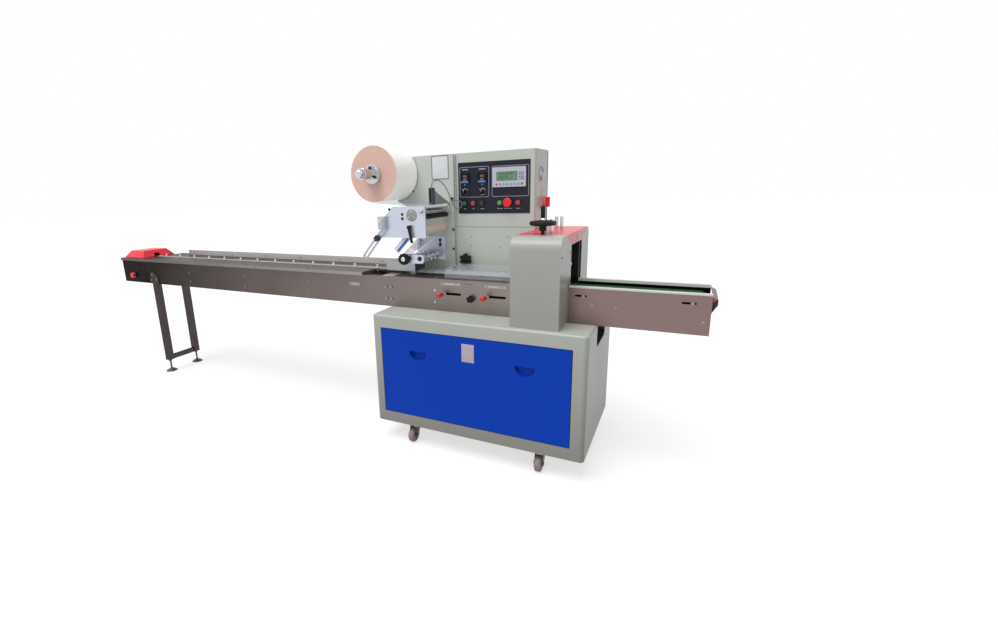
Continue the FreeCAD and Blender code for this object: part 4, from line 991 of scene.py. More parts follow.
class Fasteners:
    """Screw and bolt heads set out by Geometry Nodes on a list of points."""

    def __init__(self, kind: Head) -> None:
        """Builds the node tree of one kind of head."""
        self.kind = kind
        self.tree = bpy.data.node_groups.new(f"heads_{kind.name.lower()}", "GeometryNodeTree")
        for name, sort in (("Geometry", "NodeSocketGeometry"), ("Radius", "NodeSocketFloat"),
                           ("Height", "NodeSocketFloat"), ("Turn", "NodeSocketVector"),
                           ("Material", "NodeSocketMaterial")):
            self.tree.interface.new_socket(name, in_out="INPUT", socket_type=sort)
        self.tree.interface.new_socket("Geometry", in_out="OUTPUT", socket_type="NodeSocketGeometry")
        self._build()

    def _node(self, kind: str, settings: Optional[dict] = None, **inputs) -> bpy.types.Node:
        """One node of the tree, its numbered sockets filled from s0, s1 and so on."""
        made = self.tree.nodes.new(kind)
        for name, value in (settings or {}).items():
            setattr(made, name, value)
        for name, value in inputs.items():
            socket = made.inputs[name.replace("_", " ")] if not name[1:].isdigit() else made.inputs[int(name[1:])]
            if isinstance(value, bpy.types.NodeSocket):
                self.tree.links.new(value, socket)
            else:
                socket.default_value = value
        return made

    def _scaled(self, value: bpy.types.NodeSocket, factor: float) -> bpy.types.NodeSocket:
        """A size times a number."""
        return self._node("ShaderNodeMath", {"operation": "MULTIPLY"}, s0=value, s1=factor).outputs[0]

    def _build(self) -> None:
        """Head, collar and recess, instanced on the points, turned, realized and given a finish."""
        entry = self._node("NodeGroupInput").outputs
        sides, drive = self.kind.value
        head = self._node("GeometryNodeMeshCylinder", Vertices=sides, Radius=entry["Radius"], Depth=entry["Height"])
        washer = self._node("GeometryNodeMeshCylinder", Vertices=24, Radius=self._scaled(entry["Radius"], 1.25),
                            Depth=self._scaled(entry["Height"], 0.3))
        recess = self._node("GeometryNodeMeshCylinder", Vertices=drive, Radius=self._scaled(entry["Radius"], 0.5),
                            Depth=self._scaled(entry["Height"], 0.5))
        lift = self._node("ShaderNodeCombineXYZ", s2=self._scaled(entry["Height"], 0.5))
        raised = self._node("GeometryNodeTransform", Geometry=head.outputs[0], Translation=lift.outputs[0])
        low = self._node("ShaderNodeCombineXYZ", s2=self._scaled(entry["Height"], 0.14))
        flat = self._node("GeometryNodeTransform", Geometry=washer.outputs[0], Translation=low.outputs[0])
        top = self._node("ShaderNodeCombineXYZ", s2=self._scaled(entry["Height"], 0.8))
        sunk = self._node("GeometryNodeTransform", Geometry=recess.outputs[0], Translation=top.outputs[0])
        whole = self._node("GeometryNodeJoinGeometry")
        for part in (raised, flat, sunk):
            self.tree.links.new(part.outputs[0], whole.inputs[0])
        spread = self._node("GeometryNodeInstanceOnPoints", Points=entry["Geometry"], Instance=whole.outputs[0],
                            Rotation=entry["Turn"])
        real = self._node("GeometryNodeRealizeInstances", Geometry=spread.outputs[0])
        dressed = self._node("GeometryNodeSetMaterial", Geometry=real.outputs[0], Material=entry["Material"])
        self._node("NodeGroupOutput", Geometry=dressed.outputs[0])

    def place(self, name: str, points: Sequence[Point], facing: Point, radius: float, height: float,
              material: bpy.types.Material, slot: str, body: str = "machine") -> bpy.types.Object:
        """Sets heads on points, as one plain mesh.

        Args:
            name: The piece's name.
            points: The heads' feet.
            facing: The way the heads point.
            radius: Head radius.
            height: Head height.
            material: Their finish.
            slot: Not used.
            body: The body they move with.

        Returns:
            The object.
        """
        carrier_mesh = bpy.data.meshes.new(f"{name}_points")
        carrier_mesh.from_pydata([tuple(point) for point in points], [], [])
        carrier = bpy.data.objects.new(f"{name}_points", carrier_mesh)
        bpy.context.scene.collection.objects.link(carrier)
        modifier = carrier.modifiers.new("heads", "NODES")
        modifier.node_group = self.tree
        turn = Vector(facing).to_track_quat("Z", "Y").to_euler()
        values = {"Radius": radius, "Height": height, "Turn": tuple(turn), "Material": material}
        for item in self.tree.interface.items_tree:
            if item.in_out == "INPUT" and item.name in values:
                modifier[item.identifier] = values[item.name]
        graph = bpy.context.evaluated_depsgraph_get()
        graph.update()
        data = bpy.data.meshes.new_from_object(carrier.evaluated_get(graph))
        carrier.modifiers.remove(modifier)
        bpy.data.objects.remove(carrier)
        data.name = name
        return finished(name, data, material, body, 0.5)


@dataclass(frozen=True)
class Kit:
    """What every sub-assembly is handed: finishes and the kinds of fastener."""

    finishes: Finishes
    sockets: Fasteners
    hexagons: Fasteners
    pans: Fasteners


def dress(kit: Kit, looks: dict[str, Sequence[str]]) -> None:
    """Gives solids their materials.

    Args:
        kit: The finishes.
        looks: Material names, each with the nodes that take it.
    """
    nodes = frame_nodes()
    for material, names in looks.items():
        for name in names:
            obj = nodes[name]
            if not obj.material_slots:
                obj.data.materials.append(kit.finishes[material])
            for slot in obj.material_slots:
                slot.material = kit.finishes[material]


def frame_nodes() -> dict[str, bpy.types.Object]:
    """The solids' objects by name, as the frame was loaded."""
    return FRAME["nodes"]


FRAME: dict = {}


def corners(node: str) -> tuple[Vector, Vector]:
    """The lowest and highest corner of a solid."""
    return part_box(node)


# ---- sub-assemblies -------------------------------------------------------------------------------------
@dataclass
class BaseCabinet:
    """The painted base with its blue panel, castors and bare plate."""

    plate_size: tuple[float, float] = (0.060, 0.085)
    plate_left: float = 0.478
    plate_bottom: float = 0.376

    def build(self, kit: Kit) -> None:
        """Dresses the base and adds its small parts."""
        wheels = [f"castor_wheel_{number}" for number in range(1, 5)]
        forks = [f"castor_fork_{number}" for number in range(1, 5)]
        low, high = corners("base_cabinet")
        # Painted shade: the housing's paint, darker and warmer low down, darker on +X faces, near black in a box at the
        # top right.
        kit.finishes.add(Enamel("painted_base", colour(208, 216, 206), 0.4, 0.04, 1.0, 0.5, colour(136, 130, 124), 0.24,
                                (high.x - 0.1626, low.y + 0.2041, high.z - 0.1064),
                                (high.x - 0.0022, low.y + 0.4252, high.z - 0.0014)))
        dress(kit, {"painted_base": ["base_cabinet"], "blue_enamel": ["front_panel"], "castor_rubber": wheels,
                    "fork_steel": forks})
        self.name_plate(kit)
        self.castor_bolts(kit)

    def name_plate(self, kit: Kit) -> None:
        """The bare plate at the top of the base panel, held by four rivets."""
        low, _ = corners("base_cabinet")
        face = corners("front_panel")[0].y
        left, bottom = low.x + self.plate_left, low.z + self.plate_bottom
        right, top = left + self.plate_size[0], bottom + self.plate_size[1]
        Form().block((left, face - 0.0008, bottom), (right, face, top), 0.0003).piece(
            "base_name_plate", kit.finishes["label_plate"], "machined_aluminium")
        inset = 0.004
        points = [(x, face - 0.0008, z) for x in (left + inset, right - inset)
                  for z in (bottom + inset, top - inset)]
        kit.pans.place("base_plate_rivets", points, (0, -1, 0), 0.0016, 0.0008, kit.finishes["bright_steel"],
                       "bright_steel")

    def castor_bolts(self, kit: Kit) -> None:
        """The bolt heads at each castor's axle ends."""
        for number in range(1, 5):
            low, high = corners(f"castor_fork_{number}")
            wheel_low, wheel_high = corners(f"castor_wheel_{number}")
            centre = (wheel_low + wheel_high) / 2
            for side, _ in ((-1, low.x), (1, high.x)):
                middle = (low.x + high.x) / 2 + side * (wheel_high.x - wheel_low.x + 0.006) / 2
                kit.hexagons.place(f"castor_{number}_axle_{'left' if side < 0 else 'right'}",
                                   [(middle, centre.y, centre.z)], (side, 0, 0), 0.007, 0.005,
                                   kit.finishes["bright_steel"], "bright_steel", f"castor_{number}")


@dataclass
class Housing:
    """The painted wall and control cabinet, with the fan guard and the isolator."""

    guard_wire: float = 0.0012
    guard_radii: tuple[float, ...] = (0.010, 0.019, 0.028, 0.037)
    guard_square: float = 0.086
    back_seam: float = 0.004

    def build(self, kit: Kit) -> None:
        """Dresses the housing and adds its small parts."""
        kit.finishes.add(IsolatorHandle("isolator_look", corners("isolator_base")[1].x + 0.0084))
        dress(kit, {"painted_housing": ["machine_body", "control_cabinet"], "isolator_plate": ["isolator_base"],
                    "isolator_look": ["isolator_handle"], "black_plastic": ["wall_knob"]})
        self.fan_guard(kit)
        self.isolator(kit)
        self.wall(kit)

    def fan_guard(self, kit: Kit) -> None:
        """A square finger guard of rings and crossed wires over the dark fan opening."""
        low, high = corners("control_cabinet")
        y, z, face = low.y + 0.100, low.z + 0.249, high.x
        half = self.guard_square / 2
        Form().turned((face - 0.0075, y, z), Axis.X, ((0.0358, 0.0), (0.0358, 0.0012)), 40).turned(
            (face - 0.0063, y, z), Axis.X, ((0.013, 0.0), (0.012, 0.004)), 24).piece(
            "fan_motor", kit.finishes["dark_void"], "black_plastic")
        blades = Form()
        for index in range(7):
            angle = 2 * math.pi * index / 7
            outline = []
            for radius, lead in ((0.012, 0.0), (0.033, 0.16), (0.034, 0.55), (0.012, 0.5)):
                outline.append((face - 0.0060 + lead * 0.004, y + radius * math.cos(angle + lead),
                                z + radius * math.sin(angle + lead)))
            blades.sheet(outline, (0.0012, 0, 0))
        blades.piece("fan_blades", kit.finishes["black_plastic"], "black_plastic")
        guard = Form()
        for radius in self.guard_radii:
            guard.ring((face + 0.0024, y, z), Axis.X, radius, self.guard_wire)
        for sign in (-1, 1):
            guard.rail((face + 0.0012, y - 0.029, z - sign * 0.029), (face + 0.0012, y + 0.029, z + sign * 0.029),
                       self.guard_wire)
        guard.piece("fan_guard", kit.finishes["bright_steel"], "bright_steel")
        points = [(face, y + a * (half - 0.006), z + b * (half - 0.006)) for a in (-1, 1) for b in (-1, 1)]
        kit.pans.place("fan_screws", points, (1, 0, 0), 0.0032, 0.0022, kit.finishes["bright_steel"], "bright_steel")

    def isolator(self, kit: Kit) -> None:
        """The isolator plate's screws and the ring round its handle."""
        low, high = corners("isolator_base")
        centre = (low + high) / 2
        inset = 0.007
        points = [(high.x, y, z) for y in (low.y + inset, high.y - inset) for z in (low.z + inset, high.z - inset)]
        kit.pans.place("isolator_screws", points, (1, 0, 0), 0.0028, 0.0018, kit.finishes["bright_steel"],
                       "bright_steel")
        Form().block((low.x, low.y + 0.004, high.z + 0.006), (low.x + 0.001, high.y - 0.004, high.z + 0.038),
                     0.0003).piece("isolator_label", kit.finishes["isolator_plate"], "display_grey")
        Form().band((high.x, centre.y, centre.z), Axis.X, 0.0255, 0.0300, 0.0016).piece(
            "isolator_ring", kit.finishes["red_plastic"], "red_plastic")

    def wall(self, kit: Kit) -> None:
        """The seam under the cabinet, the dark strip at the back and the knob's black centre cap."""
        low, high = corners("machine_body")
        cabinet_low, cabinet_high = corners("control_cabinet")
        front = cabinet_low.y
        Form().block((cabinet_low.x + 0.001, front - 0.0004, high.z - 0.0009),
                     (cabinet_high.x - 0.011, front + 0.001, high.z + 0.0009)).piece(
            "cabinet_seam", kit.finishes["seam"], "painted_housing")
        # A dark strip along the back edge of the cabinet's side face.
        Form().block((cabinet_high.x - 0.001, cabinet_high.y - 0.007, low.z + 0.004),
                     (cabinet_high.x + 0.0012, cabinet_high.y - 0.001, cabinet_high.z - 0.006)).piece(
            "back_dark_strip", kit.finishes["seam"], "painted_housing")
        points = [(cabinet_low.x + x, front, z) for x, z in
                  ((0.082, low.z + 0.295), (0.240, low.z + 0.287), (0.085, low.z + 0.338), (0.282, low.z + 0.342))]
        kit.sockets.place("wall_screws", points, (0, -1, 0), 0.0022, 0.001, kit.finishes["seam"], "painted_housing")
        knob_low, knob_high = corners("wall_knob")
        Form().turned(((knob_low.x + knob_high.x) / 2, knob_low.y + 0.0004, (knob_low.z + knob_high.z) / 2), Axis.Y,
                      ((0.011, 0.0), (0.011, 0.0010), (0.009, 0.0018)), 28).piece(
            "wall_knob_cap", kit.finishes["black_plastic"], "black_plastic", "wall_knob_body")


@dataclass
class OperatorPanel:
    """The dark operator panel: controllers, display, keypad, buttons and selectors."""

    key: tuple[float, float] = (0.0056, 0.0048)
    digit: tuple[float, float] = (0.0056, 0.0085)

    SEGMENTS = {"top": (0, 1, 1, 1), "middle": (0, 0.5, 1, 0.5), "bottom": (0, 0, 1, 0), "upper_left": (0, 0.5, 0, 1),
                "upper_right": (1, 0.5, 1, 1), "lower_left": (0, 0, 0, 0.5), "lower_right": (1, 0, 1, 0.5)}
    SHAPES = {0: ("top", "bottom", "upper_left", "upper_right", "lower_left", "lower_right"),
              1: ("upper_right", "lower_right"),
              2: ("top", "middle", "bottom", "upper_right", "lower_left"),
              5: ("top", "middle", "bottom", "upper_left", "lower_right"),
              8: tuple(SEGMENTS)}

    def build(self, kit: Kit) -> None:
        """Dresses the panel and adds its small parts."""
        low, _ = corners("operator_panel")
        offsets = (0.036, 0.082, 0.129, 0.222, 0.315)
        tints = (colour(20, 112, 80), colour(222, 38, 50), colour(26, 26, 30), colour(40, 190, 86),
                 colour(222, 38, 50))
        kit.finishes.add(ButtonCaps("button_caps", tuple(low.x + offset for offset in offsets), tints,
                                    low.y - 0.0042))
        dress(kit, {"panel_navy": ["operator_panel"], "display_grey": ["operator_display"],
                    "black_plastic": ["temperature_controllers", "selector_left", "selector_right"],
                    "button_caps": ["push_buttons"], "red_plastic": ["emergency_stop"]})
        self.outlines(kit)
        self.controllers(kit)
        self.display(kit)
        self.collars(kit, offsets)
        self.selectors(kit)

    def outlines(self, kit: Kit) -> None:
        """The thin silver frames, and the bare strips under each control."""
        low, _ = corners("operator_panel")
        lines = Form()
        lines.frame_line((low.x + 0.008, low.z + 0.080), (low.x + 0.165, low.z + 0.227), low.y, 0.0022, 0.008)
        lines.frame_line((low.x + 0.180, low.z + 0.080), (low.x + 0.365, low.z + 0.225), low.y, 0.0022, 0.008)
        lines.piece("panel_outlines", kit.finishes["silver_line"], "display_grey")
        marks = Form()
        for x, half in ((0.036, 0.007), (0.082, 0.006), (0.129, 0.009), (0.222, 0.014), (0.264, 0.020), (0.315, 0.010)):
            marks.block((low.x + x - half, low.y - 0.0003, low.z + 0.0215),
                        (low.x + x + half, low.y, low.z + 0.0245))
        for x, z, half in ((0.038, 0.212, 0.016), (0.1295, 0.212, 0.018), (0.036, 0.139, 0.004), (0.130, 0.139, 0.004)):
            marks.block((low.x + x - half, low.y - 0.0003, low.z + z), (low.x + x + half, low.y, low.z + z + 0.005))
        marks.piece("panel_strips", kit.finishes["silver_line"], "display_grey")

    def number(self, form: Form, left: float, bottom: float, y: float, figures: Sequence[int]) -> None:
        """Adds seven-segment figures to a form.

        Args:
            form: What they are added to.
            left: Left end of the first figure.
            bottom: Foot of the figures.
            y: The face they stand on.
            figures: The numbers shown.
        """
        wide, high = self.digit
        line = 0.0011
        for index, figure in enumerate(figures):
            x = left + index * wide * 1.3
            for segment in self.SHAPES[figure]:
                x0, z0, x1, z1 = self.SEGMENTS[segment]
                gap = 0.0004
                form.block((x + x0 * wide - line / 2 + (gap if x0 != x1 else 0), y - 0.0003,
                            bottom + z0 * high - line / 2 + (gap if z0 != z1 else 0)),
                           (x + x1 * wide + line / 2 - (gap if x0 != x1 else 0), y,
                            bottom + z1 * high + line / 2 - (gap if z0 != z1 else 0)))

    def controllers(self, kit: Kit) -> None:
        """Lit figures, the blue strip and four keys of each temperature controller."""
        low, high = corners("temperature_controllers")
        side = high.z - low.z
        pane = low.y + 0.002
        upper, lower, strips, keys = Form(), Form(), Form(), Form()
        for left in (low.x, high.x - side):
            self.number(upper, left + 0.012, low.z + 0.028, pane, (1, 5, 0))
            self.number(lower, left + 0.012, low.z + 0.012, pane, (1, 5, 2))
            strips.block((left + 0.004, low.y - 0.0004, low.z + 0.0005), (left + side - 0.004, low.y, low.z + 0.0095),
                         0.0003)
            for index in range(4):
                x = left + 0.008 + index * 0.009
                keys.block((x, low.y - 0.0012, low.z + 0.0025), (x + 0.005, low.y - 0.0003, low.z + 0.0065), 0.0004)
        upper.piece("controller_reading", kit.finishes["amber_digit"], "display_grey")
        lower.piece("controller_setting", kit.finishes["pale_digit"], "display_grey")
        strips.piece("controller_strips", kit.finishes["blue_strip"], "blue_enamel")
        keys.piece("controller_keys", kit.finishes["pale_key"], "white_plastic")

    def display(self, kit: Kit) -> None:
        """The screen with its dark surround, its rows of marks, the keypad and the key row."""
        low, _ = corners("operator_display")
        left, bottom, right, top = low.x + 0.0232, low.z + 0.0322, low.x + 0.1228, low.z + 0.0688
        pane = low.y + 0.0020
        Form().block((left, pane - 0.0006, bottom), (right, pane, top), 0.0002).piece(
            "screen_glass", kit.finishes["screen_green"], "display_grey")
        marks = Form()
        for row, lengths in enumerate(((7, 4, 5), (5, 6), (8, 3, 3))):
            x = left + 0.009
            for length in lengths:
                for step in range(length):
                    z = top - 0.0105 - row * 0.0100
                    marks.block((x, pane - 0.0008, z), (x + 0.0026, pane - 0.0005, z + 0.0044))
                    x += 0.0038
                x += 0.0052
        marks.piece("screen_marks", kit.finishes["screen_mark"], "display_grey")
        surround = Form()
        surround.frame_line((left - 0.003, bottom - 0.003), (right + 0.003, top + 0.003), low.y, 0.0026, 0.003)
        surround.piece("screen_surround", kit.finishes["keypad_blue"], "display_grey")
        keys = Form()
        wide, high_key = self.key
        for column in range(3):
            for row in range(4):
                x = low.x + 0.1325 + column * 0.0088
                z = low.z + 0.0335 + row * 0.0098
                keys.block((x, low.y - 0.0012, z), (x + wide, low.y, z + high_key), 0.0005)
        keys.piece("keypad_keys", kit.finishes["keypad_blue"], "display_grey")
        rows = {"pale_key": range(1, 7), "red_plastic": (0,), "green_cap": (7,)}
        for finish, places in rows.items():
            row = Form()
            for place in places:
                row.turned((low.x + 0.021 + place * 0.0182, low.y + 0.0002, low.z + 0.0140), Axis.Y,
                           ((0.0052, 0.0), (0.0052, 0.0012), (0.0044, 0.0018)), 24)
            row.piece(f"function_keys_{finish}", kit.finishes[finish], "display_grey")
        Form().turned((low.x + 0.1545, low.y + 0.0002, low.z + 0.0365), Axis.Y,
                      ((0.0036, 0.0), (0.0036, 0.0013), (0.0030, 0.0018)), 20).piece(
            "enter_key", kit.finishes["green_cap"], "display_grey")

    def collars(self, kit: Kit, offsets: Sequence[float]) -> None:
        """A satin ring round each push button."""
        low, _ = corners("operator_panel")
        button_low, button_high = corners("push_buttons")
        z = (button_low.z + button_high.z) / 2
        rings = Form()
        for offset in offsets:
            rings.band((low.x + offset, button_high.y, z), Axis.Y, 0.0137, 0.0152, 0.0030)
        rings.piece("button_rings", kit.finishes["black_plastic"], "black_plastic")
        stop_low, stop_high = corners("emergency_stop")
        x, z = (stop_low.x + stop_high.x) / 2, (stop_low.z + stop_high.z) / 2
        Form().band((x, button_high.y, z), Axis.Y, 0.0126, 0.0165, 0.0022).piece(
            "stop_collar", kit.finishes["black_plastic"], "black_plastic")

    def selectors(self, kit: Kit) -> None:
        """White position ticks round the selectors and a white line on each pointer."""
        low, _ = corners("operator_panel")
        ticks = Form()
        for side in ("left", "right"):
            knob_low, knob_high = corners(f"selector_{side}")
            x, z = (knob_low.x + knob_high.x) / 2, (knob_low.z + knob_high.z) / 2
            for degrees in (-45, 0, 45):
                angle = math.radians(degrees)
                cx, cz = x + 0.0185 * math.sin(angle), z + 0.0185 * math.cos(angle)
                ticks.block((cx - 0.0019, low.y - 0.0003, cz - 0.0019), (cx + 0.0019, low.y, cz + 0.0019))
            Form().block((x - 0.0008, knob_low.y - 0.0003, z + 0.002), (x + 0.0008, knob_low.y, z + 0.0125)).piece(
                f"selector_{side}_line", kit.finishes["white_label"], "white_plastic", f"selector_{side}_body")
            Form().band((x, low.y, z), Axis.Y, 0.0143, 0.0158, 0.0024).piece(
                f"selector_{side}_ring", kit.finishes["bright_steel"], "bright_steel")
        ticks.piece("selector_ticks", kit.finishes["white_label"], "white_plastic")


@dataclass
class FilmReel:
    """The reel plate with its bare label, the wound film and the shaft."""

    label: tuple[float, float] = (0.097, 0.117)
    label_inset: tuple[float, float] = (0.026, 0.004)

    def build(self, kit: Kit) -> None:
        """Dresses the reel and adds its small parts."""
        low, high = corners("film_roll")
        kit.finishes.add(WoundFilm("wound_film", ((low.x + high.x) / 2, (low.z + high.z) / 2), (low.y, high.y)))
        dress(kit, {"painted_housing": ["reel_plate"], "wound_film": ["film_roll"], "bright_steel": ["reel_shaft"]})
        self.plate(kit)
        self.joint(kit)
        self.shaft(kit)

    def plate(self, kit: Kit) -> None:
        """The framed bare label and the screws down the plate's seam."""
        low, high = corners("reel_plate")
        right, top = high.x - self.label_inset[0], high.z - self.label_inset[1]
        left, bottom = right - self.label[0], top - self.label[1]
        front = low.y
        Form().block((left, front - 0.0008, bottom), (right, front, top), 0.0003).piece(
            "reel_label", kit.finishes["white_label"], "white_plastic")
        frame = Form()
        frame.frame_line((left, bottom), (right, top), front - 0.0008, 0.0045, 0.003)
        frame.piece("reel_label_frame", kit.finishes["label_frame"], "machined_aluminium")
        points = [(high.x - 0.007, front, low.z + z) for z in (0.020, 0.118, 0.217)]
        points.append((high.x - 0.239, front, low.z + 0.417))
        kit.sockets.place("reel_plate_screws", points, (0, -1, 0), 0.0052, 0.0045, kit.finishes["dark_screw"],
                          "chain_steel")
        small = [(high.x - 0.014, front, high.z - 0.008), (high.x - 0.190, front, high.z - 0.098),
                 (left + 0.006, front - 0.0009, top - 0.006), (right - 0.006, front - 0.0009, bottom + 0.006)]
        kit.pans.place("reel_small_screws", small, (0, -1, 0), 0.0026, 0.0015, kit.finishes["bright_steel"],
                       "bright_steel")

    def joint(self, kit: Kit) -> None:
        """A pale strip that closes the joint between the reel plate and the cabinet: a painted highlight on the
        cabinet's lit edge.
        """
        _, high = corners("reel_plate")
        cabinet_low, _ = corners("control_cabinet")
        Form().block((high.x + 0.0001, cabinet_low.y + 0.0006, cabinet_low.z + 0.001),
                     (cabinet_low.x - 0.0001, cabinet_low.y + 0.016, high.z - 0.002)).piece(
            "joint_highlight", kit.finishes["edge_highlight"], "painted_housing")

    def shaft(self, kit: Kit) -> None:
        """Set screws of the chuck's lobes and the shaft's lock nut."""
        roll_low, roll_high = corners("film_roll")
        x, z = (roll_low.x + roll_high.x) / 2, (roll_low.z + roll_high.z) / 2
        points = []
        for index in range(3):
            angle = math.pi / 2 + 2 * math.pi * index / 3
            points.append((x + 0.030 * math.cos(angle), roll_low.y - 0.026, z + 0.030 * math.sin(angle)))
        kit.sockets.place("chuck_screws", points, (0, -1, 0), 0.006, 0.006, kit.finishes["dark_screw"],
                          "chain_steel", "reel")
        front = roll_low.y
        Form().turned((x, front - 0.0145, z), Axis.Y,
                      ((0.0250, 0.0), (0.0250, 0.074), (0.0235, 0.0755), (0.0285, 0.0756), (0.0285, 0.090),
                       (0.0270, 0.0915), (0.0200, 0.0916), (0.0200, 0.098), (0.0215, 0.0981), (0.0215, 0.106),
                       (0.0190, 0.114), (0.0120, 0.119), (0.0040, 0.1205)), 48).piece(
            "shaft_sleeve", kit.finishes["bright_steel"], "bright_steel", "reel")


@dataclass
class FilmUnit:
    """The film unit's plate, rollers, guide arm, sensor and film."""

    cable_radius: float = 0.0022
    cable_length: float = 0.385

    def build(self, kit: Kit) -> None:
        """Dresses the unit and adds its small parts."""
        kit.finishes.add(ArmAndKnob("arm_and_knob", corners("film_guide_arm")[1].y - 0.0052))
        kit.finishes.add(BodyAndBracket("sensor_look", corners("photo_sensor")[0].y + 0.0342))
        dress(kit, {"machined_aluminium": ["film_unit_plate", "centre_seal_unit"],
                    "arm_and_knob": ["film_guide_arm"],
                    "bright_steel": ["top_idler"], "black_plastic": ["lower_idler", "clamp_lever"],
                    "roller_rubber": ["draw_roller"], "film": ["film_web"], "machined_aluminium_box": ["forming_box"],
                    "sensor_look": ["photo_sensor"]})
        self.front(kit)
        self.seal(kit)
        self.sensor(kit)
        self.cable(kit)

    def front(self, kit: Kit) -> None:
        """The gauge disc, screws, conical knob and clear block on the front plate."""
        low, high = corners("film_unit_plate")
        face = low.y
        Form().turned((high.x - 0.073, face + 0.0004, low.z + 0.108), Axis.Y,
                      ((0.029, 0.0), (0.029, 0.0018), (0.0275, 0.0026)), 48).piece(
            "unit_disc", kit.finishes["gauge_grey"], "machined_aluminium")
        points = [(high.x - 0.073 + 0.019 * math.cos(a), face - 0.0022, low.z + 0.108 + 0.019 * math.sin(a))
                  for a in (math.pi / 2, math.pi / 2 + 2.1, math.pi / 2 - 2.1)]
        kit.sockets.place("disc_screws", points, (0, -1, 0), 0.0028, 0.0018, kit.finishes["bright_steel"],
                          "bright_steel")
        points = [(low.x + 0.118, face, low.z + 0.112), (low.x + 0.118, face, low.z + 0.092),
                  (low.x + 0.046, face, low.z + 0.137)]
        kit.sockets.place("unit_black_screws", points, (0, -1, 0), 0.0052, 0.0045, kit.finishes["dark_screw"],
                          "chain_steel")
        Form().turned((high.x - 0.019, face + 0.0004, low.z + 0.127), Axis.Y,
                      ((0.013, 0.0), (0.0115, 0.006), (0.009, 0.014), (0.0045, 0.019)), 36).piece(
            "tension_knob", kit.finishes["bright_steel"], "bright_steel")
        z = low.z + 0.040
        Form().block((low.x - 0.014, face - 0.020, z), (low.x + 0.030, face - 0.0004, z + 0.064), 0.003).piece(
            "edge_block", kit.finishes["clear_block"], "clear_acrylic")
        kit.sockets.place("edge_block_screw", [(low.x + 0.002, face - 0.020, z + 0.044)], (0, -1, 0), 0.008, 0.007,
                          kit.finishes["bright_steel"], "bright_steel")

    def seal(self, kit: Kit) -> None:
        """Bolts of the arm, the ring knob's metal centre and the roller collar."""
        low, high = corners("centre_seal_unit")
        arm_z = low.z + 0.029
        points = [(high.x - 0.045, low.y + 0.026, arm_z + 0.002), (high.x - 0.105, low.y + 0.026, arm_z + 0.002)]
        knob_x, face = low.x + 0.043, low.y
        knob = Form().band((knob_x, face + 0.018, arm_z), Axis.Y, 0.0237, 0.0262, 0.0185, 48)
        for index in range(12):
            angle = 2 * math.pi * index / 12
            x, z = knob_x + 0.0258 * math.cos(angle), arm_z + 0.0258 * math.sin(angle)
            knob.turned((x, face + 0.018, z), Axis.Y, ((0.0036, 0.0), (0.0036, 0.018), (0.0026, 0.0190)), 12)
        knob.band((knob_x, face + 0.0004, arm_z), Axis.Y, 0.0125, 0.0240, 0.0022, 48)
        knob.piece("seal_knob_rim", kit.finishes["black_plastic"], "black_plastic")
        Form().turned((knob_x, face + 0.0004, arm_z), Axis.Y, ((0.0122, 0.0), (0.0122, 0.0010), (0.0105, 0.0024)),
                      36).band((knob_x, face - 0.0018, arm_z), Axis.Y, 0.0035, 0.0062, 0.0018, 24).piece(
            "seal_knob_centre", kit.finishes["bright_steel"], "bright_steel")
        discs = Form()
        for x in (high.x - 0.045, high.x - 0.105):
            for back in (0.070, 0.112, 0.154, 0.196):
                discs.turned((x, low.y + back, arm_z + 0.002), Axis.Y,
                             ((0.0185, 0.0), (0.0195, 0.001), (0.0195, 0.011), (0.0185, 0.012)), 32)
        discs.piece("seal_rollers", kit.finishes["bright_steel"], "bright_steel")
        slot_bolts = [(low.x + 0.023, high.y - 0.0105, high.z - 0.024), (high.x - 0.030, high.y - 0.0105, high.z - 0.020),
                      (high.x - 0.030, high.y - 0.0105, high.z - 0.044)]
        kit.sockets.place("seal_slot_bolts", slot_bolts, (0, -1, 0), 0.0065, 0.006, kit.finishes["dark_screw"],
                          "chain_steel")
        self.bars(kit)
        kit.sockets.place("seal_arm_bolts", points, (0, -1, 0), 0.009, 0.008, kit.finishes["dark_screw"],
                          "chain_steel")


    ROUTE = ((0.6655, -0.1010, 1.2500), (0.6655, -0.1010, 1.2640), (0.6680, -0.0900, 1.2810),
             (0.6790, -0.0560, 1.2860), (0.6880, -0.0140, 1.2660), (0.6920, 0.0260, 1.2260),
             (0.6940, 0.0500, 1.1860), (0.7040, 0.0590, 1.1540), (0.7270, 0.0630, 1.1400),
             (0.7480, 0.0660, 1.1540), (0.7430, 0.0680, 1.1780), (0.7180, 0.0680, 1.1860),
             (0.6960, 0.0660, 1.1840), (0.6845, 0.0700, 1.1920), (0.6835, 0.0800, 1.1920))

    def cable(self, kit: Kit) -> None:
        """The registration sensor's thin cable and the gland through which it enters the reel plate."""
        data = bpy.data.curves.new("sensor_cable", "CURVE")
        data.dimensions = "3D"
        data.resolution_u = data.render_resolution_u = 10
        data.bevel_depth = self.cable_radius
        data.bevel_resolution = 3
        data.use_fill_caps = True
        line = data.splines.new("NURBS")
        line.points.add(len(self.ROUTE) - 1)
        for point, place in zip(line.points, self.ROUTE):
            point.co = (*place, 1.0)
        line.order_u = 3
        line.use_endpoint_u = True
        data.materials.append(kit.finishes["cable_grey"])
        obj = bpy.data.objects.new("sensor_cable", data)
        bpy.context.scene.collection.objects.link(obj)
        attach(obj, "machine")
        x, _, z = self.ROUTE[-1]
        gland = Form().turned((x, corners("reel_plate")[0].y + 0.0004, z), Axis.Y,
                              ((0.0080, 0.0), (0.0080, 0.0060), (0.0066, 0.0062), (0.0052, 0.0110)), 12).piece(
            "cable_gland", kit.finishes["black_plastic"], "black_plastic", "machine", 0.3)

